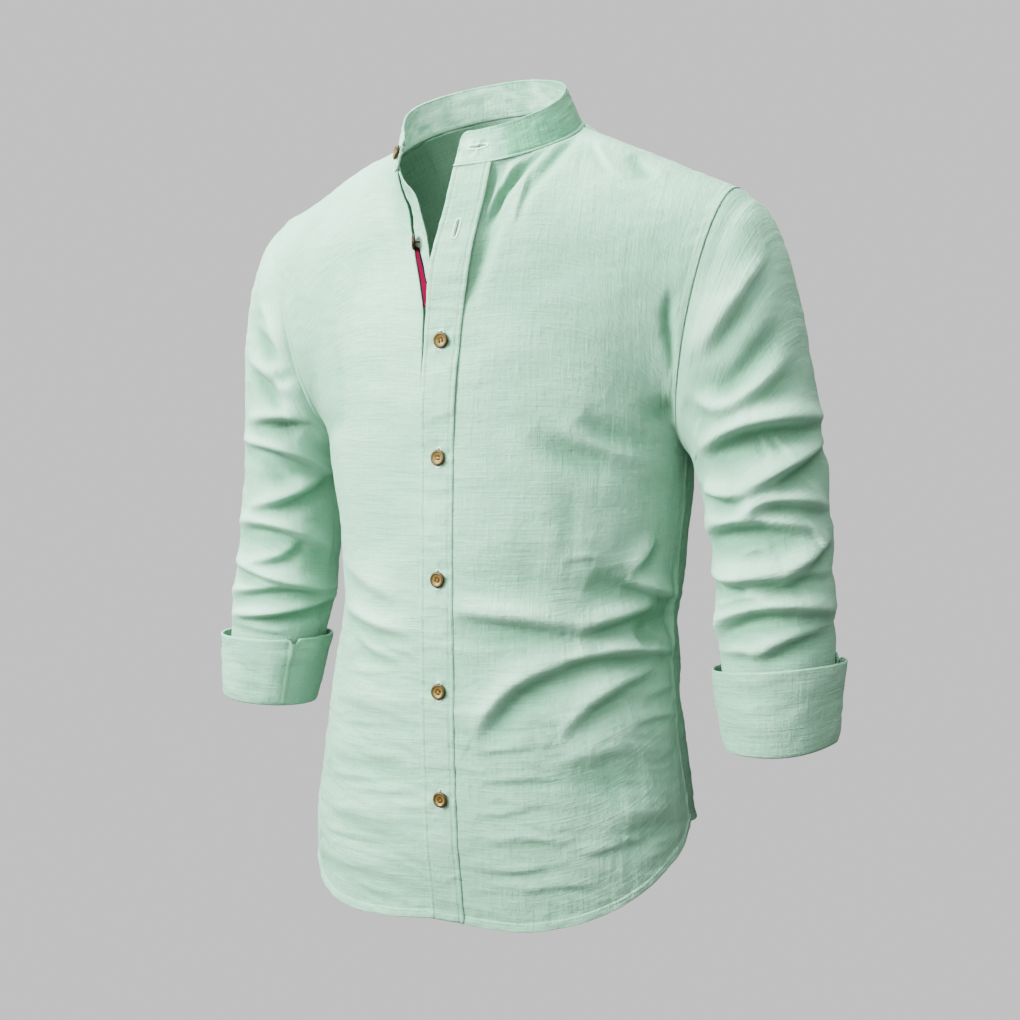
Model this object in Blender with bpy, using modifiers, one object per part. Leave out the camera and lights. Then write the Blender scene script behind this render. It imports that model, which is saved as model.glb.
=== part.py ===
"""Long-sleeved band-collar shirt with turned-back cuffs, in its worn form, hollow and open at the neck.

Metres, +Z up. The wearer faces -Y and the wearer's left is +X. The origin is midway between the
shoulders, level with the sides of the neck, where the wearer holds the shirt up.

Every cloth piece is a wall worked out from the tables below: the torso from level sections and the
armhole, the sleeves from rings, the collar from the neck curve. Folds are rows of the fold tables.
A place on the cloth is given by `across`, the distance round the shirt from the centre front (positive
towards the wearer's left), and by its height.
"""

import math

import bmesh
import bpy
import numpy as np
from mathutils import Vector

# Cloth and making
CLOTH = 0.0015
COLLAR_THICKNESS = 0.0022
CUFF_THICKNESS = 0.0018
TAPE_THICKNESS = 0.0011
SEAM_GAP = 0.0003
PLACKET_LIFT = 0.0021
BAND_DROP = 0.0026
TAPE_DROP = 0.0004
PLACKET_TUCK = 0.006
TAPE_WIDTH = 0.009
TAPE_TOP = -0.107
TAPE_END = -0.165

# Buttons
BUTTON_RADIUS = 0.0070
BUTTON_THICKNESS = 0.0028
BUTTON_WELL_RADIUS = 0.0045
BUTTON_WELL_DEPTH = 0.0008
BUTTON_SEGMENTS = 14
BUTTON_CLEARANCE = 0.0008
# height of each front button and its column, out of the columns across the placket
FRONT_BUTTONS = ((-0.1927, 6), (-0.2928, 7), (-0.3972, 7), (-0.4941, 7), (-0.5885, 7))
FRONT_BUTTON_COLUMNS = 12
BUTTON_PLACE_ROWS = 1000
CHEST_BUTTON_HEIGHT = -0.106
CHEST_BUTTON_SHARE = 0.40
CHEST_BUTTON_SHANK = 0.0032
COLLAR_BUTTON_INSET = 0.0115
COLLAR_BUTTON_RISE = 0.45

# Torso
ARMPIT_HEIGHT = -0.285
QUARTER_GIRTH = 0.24
NECK_SHARE = 0.40
LOWER_ROWS = 20
UPPER_ROWS = 13
TOP_SMOOTHING = 10
BAND_CALM = 0.024
SOFTEN_REACH = 0.28
PANEL_COLUMNS = 12
TORSO = (
    # height, half_width, centre_x, side_y, front_y, back_y
    (-0.760, 0.1890, -0.0040, 0.000, -0.0940, 0.112),
    (-0.700, 0.1895, -0.0040, 0.000, -0.1020, 0.114),
    (-0.625, 0.1890, -0.0020, 0.000, -0.1130, 0.113),
    (-0.587, 0.1835, -0.0005, 0.000, -0.1160, 0.112),
    (-0.525, 0.1735, 0.0000, 0.003, -0.1190, 0.112),
    (-0.470, 0.1660, 0.0005, 0.008, -0.1200, 0.115),
    (-0.430, 0.1630, 0.0030, 0.011, -0.1205, 0.122),
    (-0.380, 0.1665, 0.0045, 0.012, -0.1205, 0.127),
    (-0.345, 0.1700, 0.0045, 0.012, -0.1200, 0.128),
    (-0.315, 0.1740, 0.0020, 0.012, -0.1195, 0.127),
    (ARMPIT_HEIGHT, 0.1780, 0.0000, 0.012, -0.1190, 0.126),
)
HEMS = {
    # share of the way from the centre to the side seam, height
    ("front", 1): (
        (0.0, -0.7015), (0.25, -0.7010), (0.47, -0.6870), (0.65, -0.6675), (0.8, -0.6470), (0.93, -0.6290),
        (1.0, -0.6120),
    ),
    ("front", -1): (
        (0.0, -0.7000), (0.2, -0.7070), (0.4, -0.7085), (0.6, -0.6990), (0.77, -0.6830), (0.9, -0.6620),
        (1.0, -0.6320),
    ),
    ("back", 1): (
        (0.0, -0.7220), (0.2, -0.7160), (0.4, -0.6880), (0.5, -0.6620), (0.6, -0.6360), (0.7, -0.6200),
        (0.85, -0.6140), (1.0, -0.6120),
    ),
    ("back", -1): (
        (0.0, -0.7220), (0.2, -0.7180), (0.4, -0.7000), (0.6, -0.6680), (0.8, -0.6430), (1.0, -0.6320),
    ),
}
PLACKET_HEM = -0.7000
BAND_HEM = -0.6970

# Front edges above the armpits, where the neck opens: height, x, y
PLACKET_SEAM = (
    (ARMPIT_HEIGHT, 0.0168, -0.1185),
    (-0.250, 0.0180, -0.1185),
    (-0.200, 0.0215, -0.1165),
    (-0.150, 0.0262, -0.1135),
    (-0.100, 0.0330, -0.1080),
    (-0.070, 0.0375, -0.1010),
    (-0.0414, 0.0379, -0.0895),
)
PLACKET_FREE = (
    (ARMPIT_HEIGHT, -0.0168, -0.1185),
    (-0.250, -0.0160, -0.1190),
    (-0.200, -0.0130, -0.1180),
    (-0.167, -0.0110, -0.1175),
    (-0.131, -0.0080, -0.1170),
    (-0.100, -0.0020, -0.1130),
    (-0.077, 0.0025, -0.1085),
    (-0.0449, 0.0051, -0.0979),
)
BAND_SEAM = (
    (ARMPIT_HEIGHT, -0.0158, -0.1185),
    (-0.200, -0.0155, -0.1170),
    (-0.167, -0.0165, -0.1135),
    (-0.1455, -0.0225, -0.1080),
    (-0.121, -0.0311, -0.1010),
    (-0.098, -0.0389, -0.0960),
    (-0.0755, -0.0463, -0.0900),
    (-0.060, -0.0555, -0.0860),
    (-0.0390, -0.0625, -0.0837),
)
BAND_FREE = (
    (ARMPIT_HEIGHT, 0.0100, -0.1185),
    (-0.200, 0.0100, -0.1185),
    (-0.167, 0.0065, -0.1155),
    (-0.1455, 0.0000, -0.1125),
    (-0.131, -0.0110, -0.1100),
    (-0.1045, -0.0190, -0.1080),
    (-0.082, -0.0283, -0.1060),
    (-0.070, -0.0328, -0.1040),
    (-0.0535, -0.0475, -0.1015),
    (-0.0463, -0.0513, -0.1010),
)

# Neck and collar: angles are measured round the neck from the centre front
NECK_CENTRE_Y = -0.020
NECK_HALF_WIDTH = 0.0835
NECK_FRONT = 0.078
NECK_BACK = 0.075
NECK_MIDDLE_HEIGHT = -0.012
NECK_TILT = 0.033
SIDE_NECK_ANGLE = 105.0
LEFT_END_ANGLE = 3.5
LEFT_SEAM_ANGLE = 27.0
RIGHT_END_ANGLE = 40.0
RIGHT_SEAM_ANGLE = 50.0
RIGHT_OPENING = (0.0024, -0.0212, -0.009)
COLLAR_TOP = (
    # angle from the centre front, round the left side; inward lean of the top edge, rise
    (0.0, 0.0155, 0.0325),
    (120.0, 0.0155, 0.0320),
    (160.0, 0.0155, 0.0305),
    (200.0, 0.0120, 0.0315),
    (235.0, 0.0030, 0.0345),
    (255.0, -0.0005, 0.0350),
    (275.0, 0.0010, 0.0345),
    (295.0, 0.0050, 0.0335),
    (320.0, 0.0085, 0.0325),
)
COLLAR_END_STEPS = (0.0, 0.0035, 0.009, 0.017)
BAND_ROWS = 40
COLLAR_COLUMNS = 44
COLLAR_ROWS = 4
COLLAR_CORNER = 0.0075
COLLAR_CORNER_DROP = 0.26
COLLAR_SEAM_LIFT = 0.0006
NECK_SEAM_DROP = 0.0014

# Armholes and sleeves
ARMHOLE_BOTTOM = (0.178, 0.012, ARMPIT_HEIGHT)
ARMHOLE_TOP = {1: (0.226, 0.004, -0.0645), -1: (0.2245, 0.004, -0.0675)}
ARMHOLE_HALF_DEPTH = 0.064
ARMHOLE_GAP = 0.0010
SHOULDER_RISE = {1: 0.0010, -1: -0.0025}
SLEEVE_COLUMNS = 18
SLEEVE_RINGS = 27
SLEEVE = (
    # station, inner_x, inner_z, outer_x, outer_z, centre_y, half_depth
    (0.0, 0.1780, -0.285, 0.2250, -0.067, 0.008, 0.0640),
    (0.6, 0.1860, -0.292, 0.2430, -0.079, 0.008, 0.0635),
    (1.4, 0.1910, -0.301, 0.2580, -0.105, 0.008, 0.0625),
    (2.4, 0.1940, -0.312, 0.2695, -0.140, 0.008, 0.0610),
    (3.6, 0.1970, -0.326, 0.2800, -0.185, 0.009, 0.0590),
    (5.0, 0.2005, -0.344, 0.2905, -0.237, 0.010, 0.0565),
    (6.4, 0.2035, -0.366, 0.2990, -0.290, 0.011, 0.0535),
    (7.8, 0.2065, -0.393, 0.3050, -0.345, 0.012, 0.0520),
    (9.0, 0.2095, -0.422, 0.3085, -0.395, 0.012, 0.0510),
    (10.2, 0.2125, -0.452, 0.3105, -0.440, 0.011, 0.0495),
    (11.2, 0.2155, -0.4822, 0.3095, -0.4810, 0.010, 0.0440),
)
RIGHT_SLEEVE_SWAY = (
    # station, shift of the inner side, shift of the outer side
    (0.0, 0.0, 0.0),
    (2.4, -0.001, 0.0),
    (5.0, -0.007, -0.006),
    (7.8, -0.009, -0.009),
    (9.0, -0.008, -0.007),
    (10.2, -0.005, -0.003),
    (11.2, -0.001, -0.001),
)
SLEEVE_SCALE_ROUND = 0.052
SLEEVE_CALM = (0.11, 0.075)

# Cuffs: one row for each ring of the turned-back cloth, from inside, round the fold, to its top edge
CUFF_COLUMNS = 24
CUFF = (
    # height, half_width, half_depth, centre_x
    (-0.4835, 0.0450, 0.0415, 0.2622),
    (-0.5100, 0.0440, 0.0410, 0.2637),
    (-0.5330, 0.0435, 0.0410, 0.2652),
    (-0.5410, 0.0455, 0.0430, 0.2655),
    (-0.5380, 0.0475, 0.0450, 0.2654),
    (-0.5100, 0.0510, 0.0485, 0.2637),
    (-0.4900, 0.0545, 0.0510, 0.2626),
    (-0.4745, 0.0565, 0.0530, 0.2620),
)
CUFF_LEAN = {1: 0.0, -1: 0.07}
CUFF_TILT = {1: 0.055, -1: 0.0}
CUFF_CENTRE_Y = 0.010
CUFF_SIZE = {1: 1.0, -1: 0.98}

# Folds: a ridge has a positive depth, a trough a negative one
# across_1, height_1, across_2, height_2, bow, width, depth
TORSO_FOLDS = (
    # left front, from the neck down
    (0.030, -0.034, 0.014, -0.165, 0.002, 0.010, -0.0035),
    (0.022, -0.040, 0.014, -0.080, 0.0, 0.007, -0.0025),
    (0.148, -0.034, 0.172, -0.060, 0.0, 0.010, -0.0030),
    (0.221, -0.155, 0.194, -0.235, 0.008, 0.010, -0.0050),
    (0.120, -0.190, 0.188, -0.202, 0.0, 0.012, -0.0030),
    (0.105, -0.261, 0.205, -0.291, -0.004, 0.012, -0.0050),
    (0.125, -0.245, 0.200, -0.262, 0.0, 0.012, 0.0030),
    (0.066, -0.270, 0.138, -0.301, 0.0, 0.015, -0.0025),
    # left waist, running back round the side seam
    (0.030, -0.428, 0.240, -0.412, -0.016, 0.015, 0.0060),
    (0.136, -0.454, 0.225, -0.424, 0.005, 0.011, -0.0085),
    (0.140, -0.457, 0.270, -0.462, 0.0, 0.010, 0.0050),
    (0.030, -0.530, 0.185, -0.465, 0.023, 0.010, -0.0070),
    (0.045, -0.540, 0.190, -0.478, 0.020, 0.011, 0.0040),
    (0.130, -0.503, 0.225, -0.472, 0.004, 0.009, -0.0050),
    (0.115, -0.621, 0.210, -0.596, -0.005, 0.011, -0.0030),
    # across the placket and the right front
    (-0.030, -0.436, 0.105, -0.453, 0.0, 0.010, -0.0030),
    (-0.066, -0.458, -0.022, -0.422, 0.0, 0.010, -0.0050),
    (-0.150, -0.470, -0.036, -0.487, 0.004, 0.010, -0.0060),
    (-0.135, -0.455, -0.050, -0.470, 0.003, 0.010, 0.0040),
    (-0.122, -0.412, -0.034, -0.420, 0.0, 0.014, -0.0030),
    (-0.200, -0.270, -0.110, -0.262, 0.0, 0.014, -0.0030),
    # back and right side
    (0.255, -0.440, 0.400, -0.462, 0.010, 0.014, -0.0060),
    (0.270, -0.478, 0.430, -0.455, -0.012, 0.013, 0.0050),
    (0.260, -0.505, 0.390, -0.540, 0.010, 0.014, -0.0045),
    (0.290, -0.200, 0.262, -0.275, 0.006, 0.013, -0.0040),
    (0.330, -0.270, 0.250, -0.300, 0.0, 0.014, -0.0035),
    (-0.430, -0.470, -0.260, -0.440, 0.010, 0.014, -0.0060),
    (-0.410, -0.500, -0.230, -0.485, 0.008, 0.013, 0.0050),
    (-0.380, -0.530, -0.190, -0.505, 0.006, 0.013, -0.0050),
    (-0.290, -0.200, -0.262, -0.275, -0.006, 0.013, -0.0040),
    (-0.340, -0.265, -0.250, -0.298, 0.0, 0.014, -0.0035),
)
SLEEVE_FOLDS = {
    1: (
        (-0.025, -0.122, -0.092, -0.205, 0.0, 0.010, 0.0045),
        (-0.012, -0.150, -0.078, -0.218, 0.0, 0.010, -0.0045),
        (-0.013, -0.170, -0.086, -0.243, 0.010, 0.009, -0.0045),
        (-0.108, -0.250, -0.070, -0.262, 0.0, 0.009, -0.0050),
        (-0.112, -0.303, 0.012, -0.267, 0.017, 0.009, -0.0060),
        (-0.088, -0.318, 0.010, -0.268, -0.006, 0.010, 0.0060),
        (-0.080, -0.341, 0.012, -0.311, 0.010, 0.009, -0.0060),
        (-0.073, -0.334, 0.008, -0.335, 0.0, 0.009, 0.0050),
        (-0.124, -0.361, 0.0, -0.342, 0.006, 0.008, -0.0060),
        (-0.122, -0.384, -0.012, -0.350, -0.010, 0.010, 0.0060),
        (-0.114, -0.395, -0.010, -0.391, -0.007, 0.009, -0.0060),
        (-0.114, -0.408, 0.004, -0.415, 0.0, 0.009, 0.0060),
        (-0.116, -0.444, 0.004, -0.424, 0.012, 0.009, -0.0070),
        (-0.062, -0.461, -0.002, -0.438, 0.0, 0.010, -0.0040),
        (0.015, -0.200, 0.100, -0.240, 0.006, 0.011, -0.0050),
        (0.020, -0.275, 0.120, -0.300, 0.008, 0.010, -0.0060),
        (0.010, -0.300, 0.115, -0.322, 0.006, 0.010, 0.0050),
        (0.005, -0.335, 0.115, -0.352, 0.008, 0.010, -0.0060),
        (0.005, -0.385, 0.120, -0.400, 0.008, 0.010, -0.0060),
        (0.010, -0.432, 0.120, -0.425, 0.006, 0.009, -0.0050),
    ),
    -1: (
        (-0.070, -0.164, -0.100, -0.194, 0.0, 0.008, -0.0035),
        (-0.070, -0.178, -0.106, -0.204, 0.0, 0.008, -0.0035),
        (-0.058, -0.216, -0.110, -0.244, 0.0, 0.009, -0.0050),
        (-0.106, -0.249, -0.138, -0.259, 0.0, 0.010, -0.0070),
        (-0.062, -0.266, -0.142, -0.268, 0.005, 0.009, -0.0060),
        (-0.050, -0.276, -0.135, -0.286, 0.0, 0.009, 0.0050),
        (-0.045, -0.284, -0.150, -0.308, 0.0, 0.009, -0.0060),
        (-0.138, -0.282, -0.156, -0.306, 0.0, 0.009, -0.0050),
        (-0.055, -0.328, -0.135, -0.312, 0.0, 0.009, 0.0050),
        (-0.085, -0.346, -0.162, -0.326, 0.0, 0.009, -0.0070),
        (-0.050, -0.354, -0.150, -0.354, 0.0, 0.008, 0.0050),
        (-0.048, -0.361, -0.156, -0.383, -0.005, 0.009, -0.0065),
        (-0.055, -0.384, -0.150, -0.398, 0.0, 0.009, 0.0060),
        (-0.056, -0.400, -0.092, -0.418, 0.0, 0.008, -0.0040),
        (-0.078, -0.395, -0.150, -0.423, 0.0, 0.009, -0.0070),
        (-0.045, -0.429, -0.124, -0.428, -0.004, 0.008, -0.0050),
        (-0.050, -0.443, -0.140, -0.436, 0.0, 0.008, 0.0050),
        (-0.080, -0.457, -0.146, -0.456, -0.012, 0.008, -0.0050),
        (0.015, -0.205, 0.100, -0.240, 0.006, 0.011, -0.0050),
        (0.010, -0.265, 0.120, -0.295, 0.008, 0.010, -0.0060),
        (0.010, -0.295, 0.115, -0.318, 0.006, 0.010, 0.0050),
        (0.0, -0.345, 0.115, -0.350, 0.008, 0.010, -0.0060),
        (0.0, -0.392, 0.120, -0.396, 0.008, 0.010, -0.0060),
        (0.0, -0.430, 0.120, -0.428, 0.006, 0.009, -0.0050),
    ),
}

# Looks
COLOURS = {
    "cloth": (0.62, 0.80, 0.70, 1.0),
    "tape": (0.52, 0.03, 0.10, 1.0),
    "button": (0.42, 0.24, 0.08, 1.0),
}
ROUGHNESS = {"cloth": 0.85, "tape": 0.7, "button": 0.45}


def smooth(rows, at):
    """Read a table, keyed by its first column, on a smooth curve through its rows."""
    table = np.array(rows, float)
    key, values = table[:, 0], table[:, 1:]
    slope = np.gradient(values, key, axis=0)
    at = np.clip(np.asarray(at, float), key[0], key[-1])
    i = np.clip(np.searchsorted(key, at, side="right") - 1, 0, len(key) - 2)
    span = (key[i + 1] - key[i])[..., None]
    t = (at - key[i])[..., None] / span
    start = (2 * t**3 - 3 * t**2 + 1) * values[i] + (t**3 - 2 * t**2 + t) * span * slope[i]
    end = (3 * t**2 - 2 * t**3) * values[i + 1] + (t**3 - t**2) * span * slope[i + 1]
    return start + end


def torso_point(angle, height):
    """The torso at an angle in degrees from the centre front, positive to the wearer's left."""
    half_width, centre_x, side_y, front_y, back_y = np.moveaxis(smooth(TORSO, height), -1, 0)
    turn = np.radians(angle)
    reach = np.where(np.cos(turn) > 0, side_y - front_y, back_y - side_y)
    return np.stack([centre_x + half_width * np.sin(turn), side_y - reach * np.cos(turn), height], -1)


def torso_at_x(x, height):
    """The front of the torso at a given x."""
    half_width, centre_x = np.moveaxis(smooth(TORSO, height), -1, 0)[:2]
    return torso_point(np.degrees(np.arcsin((x - centre_x) / half_width)), height)


def edge_line(edge, heights):
    """A front edge at the given heights: down the torso, and by its table above the armpits."""
    heights = np.asarray(heights, float)
    table = smooth(edge, heights)
    below = torso_at_x(np.full(heights.shape, edge[0][1]), np.minimum(heights, ARMPIT_HEIGHT))
    above = np.stack([table[..., 0], table[..., 1], heights], -1)
    line = np.where((heights <= ARMPIT_HEIGHT)[..., None], below, above)
    line[..., 2] = heights
    return line


def neck_point(angle):
    """The collar seam at an angle in degrees from the centre front, positive to the wearer's left."""
    turn = np.radians(np.asarray(angle, float))
    reach = np.where(np.cos(turn) > 0, NECK_FRONT, NECK_BACK)
    point = np.stack([
        NECK_HALF_WIDTH * np.sin(turn),
        NECK_CENTRE_Y - reach * np.cos(turn),
        NECK_MIDDLE_HEIGHT - NECK_TILT * np.cos(turn),
    ], -1)
    return point + np.multiply.outer(neck_opening(angle), RIGHT_OPENING)


def neck_opening(angle):
    """How far the open right side of the neck has swung out, from 0 at its side to 1 at its end."""
    share = (90.0 + np.asarray(angle, float)) / (90.0 - RIGHT_END_ANGLE)
    return np.where(angle < 0, np.clip(share, 0.0, 1.2), 0.0) ** 2


def armhole_point(side, turn):
    """The armhole seam: turn is 0 at the armpit, pi at the shoulder, and less than pi in front."""
    share = (1.0 - np.cos(turn)) / 2.0
    bottom, top = np.array(ARMHOLE_BOTTOM), np.array(ARMHOLE_TOP[side])
    point = bottom + (top - bottom) * share[..., None]
    swing = np.sign(np.sin(turn)) * np.abs(np.sin(turn)) ** 0.9
    point[..., 1] -= ARMHOLE_HALF_DEPTH * swing
    point[..., 0] *= side
    return point


def fold_offset(folds, across, height):
    """How far the folds move the cloth out at places given by across and height."""
    offset = np.zeros(np.broadcast(across, height).shape)
    for across_1, height_1, across_2, height_2, bow, width, depth in folds:
        start = np.array([across_1, height_1])
        end = np.array([across_2, height_2])
        run = end - start
        middle = (start + end) / 2 + 2 * bow * np.array([-run[1], run[0]]) / np.hypot(*run)
        steps = np.linspace(0, 1, 9)[:, None]
        path = (1 - steps) ** 2 * start + 2 * steps * (1 - steps) * middle + steps**2 * end
        nearest = np.full(offset.shape, np.inf)
        share = np.zeros(offset.shape)
        for k in range(8):
            leg = path[k + 1] - path[k]
            t = ((across - path[k][0]) * leg[0] + (height - path[k][1]) * leg[1]) / (leg @ leg)
            t = np.clip(t, 0, 1)
            away = np.hypot(across - path[k][0] - t * leg[0], height - path[k][1] - t * leg[1])
            share = np.where(away < nearest, (k + t) / 8, share)
            nearest = np.minimum(nearest, away)
        taper = np.sin(math.pi * (0.06 + 0.88 * share))
        offset += depth * taper * np.exp(-((nearest / width) ** 2))
    return offset


def grid_normals(grid, closed=False):
    """Unit normals of a grid of points, pointing away from the grid's own middle line."""
    if closed:
        wide = np.concatenate([grid[:, -1:], grid, grid[:, :1]], 1)
        along = np.gradient(wide, axis=1)[:, 1:-1]
    else:
        along = np.gradient(grid, axis=1)
    up = np.gradient(grid, axis=0)
    normal = np.cross(along, up)
    return normal / np.maximum(np.linalg.norm(normal, axis=-1, keepdims=True), 1e-12)


def facing(normals, grid, centre):
    """Turn the normals so that they point away from a centre given for each row of the grid."""
    outward = grid - centre
    outward[..., 2] = 0
    return normals if (normals * outward).sum() > 0 else -normals


def half_panel(side, face):
    """One half of the front or back: a grid of points and the across value of each."""
    shares = np.linspace(0, 1, PANEL_COLUMNS + 1)
    column = int(round(NECK_SHARE * PANEL_COLUMNS))
    shares[: column + 1] = np.linspace(0, NECK_SHARE, column + 1)
    shares[column:] = np.linspace(NECK_SHARE, 1, PANEL_COLUMNS + 1 - column)
    hem = smooth(HEMS[face, side], shares)[:, 0]
    if face == "back":
        edge = None
        hidden = 0.0
    elif side == 1:
        edge = PLACKET_SEAM
        hidden = PLACKET_TUCK
    else:
        edge = BAND_SEAM
        hidden = 0.0
    rise = np.linspace(0, 1, LOWER_ROWS + 1)[:, None]
    height = hem + (ARMPIT_HEIGHT - hem) * rise
    if edge is None:
        first = np.full(height.shape, 0.0)
        angle = 180.0 - 90.0 * shares + 0 * height
    else:
        first_x = (edge[0][1] - hidden) * side
        half_width, centre_x = np.moveaxis(smooth(TORSO, height), -1, 0)[:2]
        first = np.degrees(np.arcsin((first_x - side * centre_x) / half_width))
        angle = first + (90.0 - first) * shares
    lower = torso_point(side * angle, height)

    h = np.linspace(0, 1, UPPER_ROWS + 1)[1:, None]
    reach, climb = 1 - np.cos(math.pi / 2 * h), np.sin(math.pi / 2 * h)
    shape = np.stack([reach, reach, climb], -1)
    bottom = lower[-1]
    top = top_line(side, face, shares)
    outer = armhole_point(side, math.pi * h[:, 0] if face == "front" else 2 * math.pi - math.pi * h[:, 0])
    if edge is None:
        back_rise = climb[:, 0]
        inner = bottom[0] + (top[0] - bottom[0]) * shape[:, 0]
        inner[:, 1] = bottom[0, 1] + (top[0, 1] - bottom[0, 1]) * back_rise**2.6
    else:
        inner_height = ARMPIT_HEIGHT + (top[0, 2] - ARMPIT_HEIGHT) * climb[:, 0]
        inner = edge_line(edge, inner_height)
        inner[:, 0] -= side * hidden
    inner += (top[0] - inner[-1]) * h**3
    soft = top.copy()
    for _ in range(TOP_SMOOTHING):
        soft[1:-1] = (soft[:-2] + 2 * soft[1:-1] + soft[2:]) / 4
    plain = bottom + (soft - bottom) * shape + (top - soft) * h[..., None] ** 7
    weight = shares[:, None]
    outer_weight = shares ** (1 + 3 * (1 - h) ** 3)
    upper = plain + (1 - weight) * (inner - plain[:, 0])[:, None]
    upper += outer_weight[..., None] * (outer - plain[:, -1])[:, None]
    grid = soften(np.concatenate([lower, upper]), shares)
    if face == "front":
        start = abs(edge[0][1]) - hidden
        across = side * (start + (QUARTER_GIRTH - start) * shares)
    else:
        across = side * (2 * QUARTER_GIRTH - QUARTER_GIRTH * shares)
    return grid, np.broadcast_to(across, grid.shape[:2])


def soften(grid, shares):
    """Round off the change of slope at the height of the armpits, all but at the two side edges."""
    reach = max(3, int(round(UPPER_ROWS * SOFTEN_REACH)))
    keep = 1 - shares[:, None] ** 6
    for _ in range(reach * reach // 2):
        rows = grid[LOWER_ROWS - reach: LOWER_ROWS + reach + 1]
        step = (rows[:-2] + rows[2:]) / 2 - rows[1:-1]
        fade = 1 - np.abs(np.linspace(-1, 1, 2 * reach + 1))[1:-1, None, None]
        rows[1:-1] += step * fade * keep
    return grid


def top_line(side, face, shares):
    """The top edge of a half panel: along the collar seam to the side neck, then along the shoulder."""
    if face == "back":
        start_angle = 180.0
    else:
        start_angle = LEFT_SEAM_ANGLE if side == 1 else RIGHT_SEAM_ANGLE
    neck_share = np.clip(shares / NECK_SHARE, 0, 1)
    neck = neck_point(side * (start_angle + (SIDE_NECK_ANGLE - start_angle) * neck_share))
    shoulder_share = np.clip((shares - NECK_SHARE) / (1 - NECK_SHARE), 0, 1)[:, None]
    tip = np.array(ARMHOLE_TOP[side]) * (side, 1, 1)
    line = neck + (tip - neck) * shoulder_share
    line[:, 2] += SHOULDER_RISE[side] * np.sin(math.pi * shoulder_share[:, 0]) * shoulder_share[:, 0]
    return line


def move_edge(grid, rows, columns, towards_rows, towards_columns, gap):
    """Draw an edge of a grid back by a gap, towards its next line of points."""
    edge = grid[rows, columns]
    step = grid[towards_rows, towards_columns] - edge
    grid[rows, columns] = edge + step / np.linalg.norm(step, axis=-1, keepdims=True) * gap


def share_normals(front, back):
    """Give the front and back the same normals along their side and shoulder seams."""
    neck_column = int(round(NECK_SHARE * PANEL_COLUMNS))
    for place in ((slice(0, LOWER_ROWS + 1), -1), (-1, slice(neck_column, None))):
        shared = front[place] + back[place]
        shared /= np.linalg.norm(shared, axis=-1, keepdims=True)
        front[place] = back[place] = shared


def torso_half(side):
    """Front and back half panels with their folds, and normals that agree along their shared seams."""
    neck_column = int(round(NECK_SHARE * PANEL_COLUMNS))
    centre = np.zeros(3)
    grids, normals = {}, {}
    for face in ("front", "back"):
        grids[face], across = half_panel(side, face)
        normals[face] = (facing(grid_normals(grids[face]), grids[face], centre), across)
    share_normals(normals["front"][0], normals["back"][0])
    for face in ("front", "back"):
        outward, across = normals[face]
        push = fold_offset(TORSO_FOLDS, across, grids[face][..., 2])
        push *= edge_calm(*push.shape) * band_calm(across)
        grids[face] = grids[face] + outward * push[..., None]
        normals[face] = facing(grid_normals(grids[face]), grids[face], centre)
    share_normals(normals["front"], normals["back"])
    panels = {face: [grids[face], normals[face]] for face in grids}
    for face in panels:
        grid = panels[face][0]
        rows = slice(0, LOWER_ROWS + 1)
        move_edge(grid, rows, -1, rows, -2, SEAM_GAP / 2)
        rows = slice(LOWER_ROWS + 1, None)
        move_edge(grid, rows, -1, rows, -2, ARMHOLE_GAP)
        columns = slice(neck_column, None)
        move_edge(grid, -1, columns, -2, columns, SEAM_GAP / 2)
        columns = slice(0, neck_column)
        move_edge(grid, -1, columns, -2, columns, NECK_SEAM_DROP)
    return panels


def edge_calm(rows, columns):
    """Folds fade out along the armhole, the shoulder and the neck, where the seams hold the cloth."""
    upper = np.clip((np.arange(rows) - LOWER_ROWS) / UPPER_ROWS, 0, 1)[:, None]
    top = np.clip((1 - upper) / 0.3, 0, 1)
    outer = np.where(upper > 0, np.clip((1 - np.linspace(0, 1, columns)) / 0.12, 0, 1), 1.0)
    return top * outer


def band_calm(across):
    """Folds fade out at the front bands, which lie flat on each other."""
    share = np.clip((np.abs(across) - BAND_CALM) / BAND_CALM, 0, 1)
    return share**2 * (3 - 2 * share)


def strip(edge_1, edge_2, hem, columns, rows, top_gap=0.0):
    """A strip of cloth between two front edges, from the hem up to the collar seam."""
    rise = np.linspace(0, 1, rows)[:, None]
    share = np.linspace(0, 1, columns + 1)
    tops = np.array([edge_1[-1][0], edge_2[-1][0]]) - top_gap
    top = tops[0] + (tops[1] - tops[0]) * share
    height = hem + (top - hem) * rise
    line_1 = edge_line(edge_1, height)
    line_2 = edge_line(edge_2, height)
    grid = line_1 + (line_2 - line_1) * share[:, None]
    x_1, x_2 = edge_1[0][1], edge_2[0][1]
    across = x_1 + (x_2 - x_1) * share
    flat = np.minimum(height, ARMPIT_HEIGHT)
    chord = edge_line(edge_1, flat) * (1 - share[:, None]) + edge_line(edge_2, flat) * share[:, None]
    grid[..., 1] += (torso_at_x(across + 0 * flat, flat) - chord)[..., 1]
    return grid, facing(grid_normals(grid), grid, np.zeros(3))


def link(name, mesh, material):
    """Put a mesh in the scene as one named piece of the shirt."""
    piece = bpy.data.objects.new(name, mesh)
    piece.data.materials.append(material)
    bpy.data.collections["band_collar_shirt"].objects.link(piece)
    return piece


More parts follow.
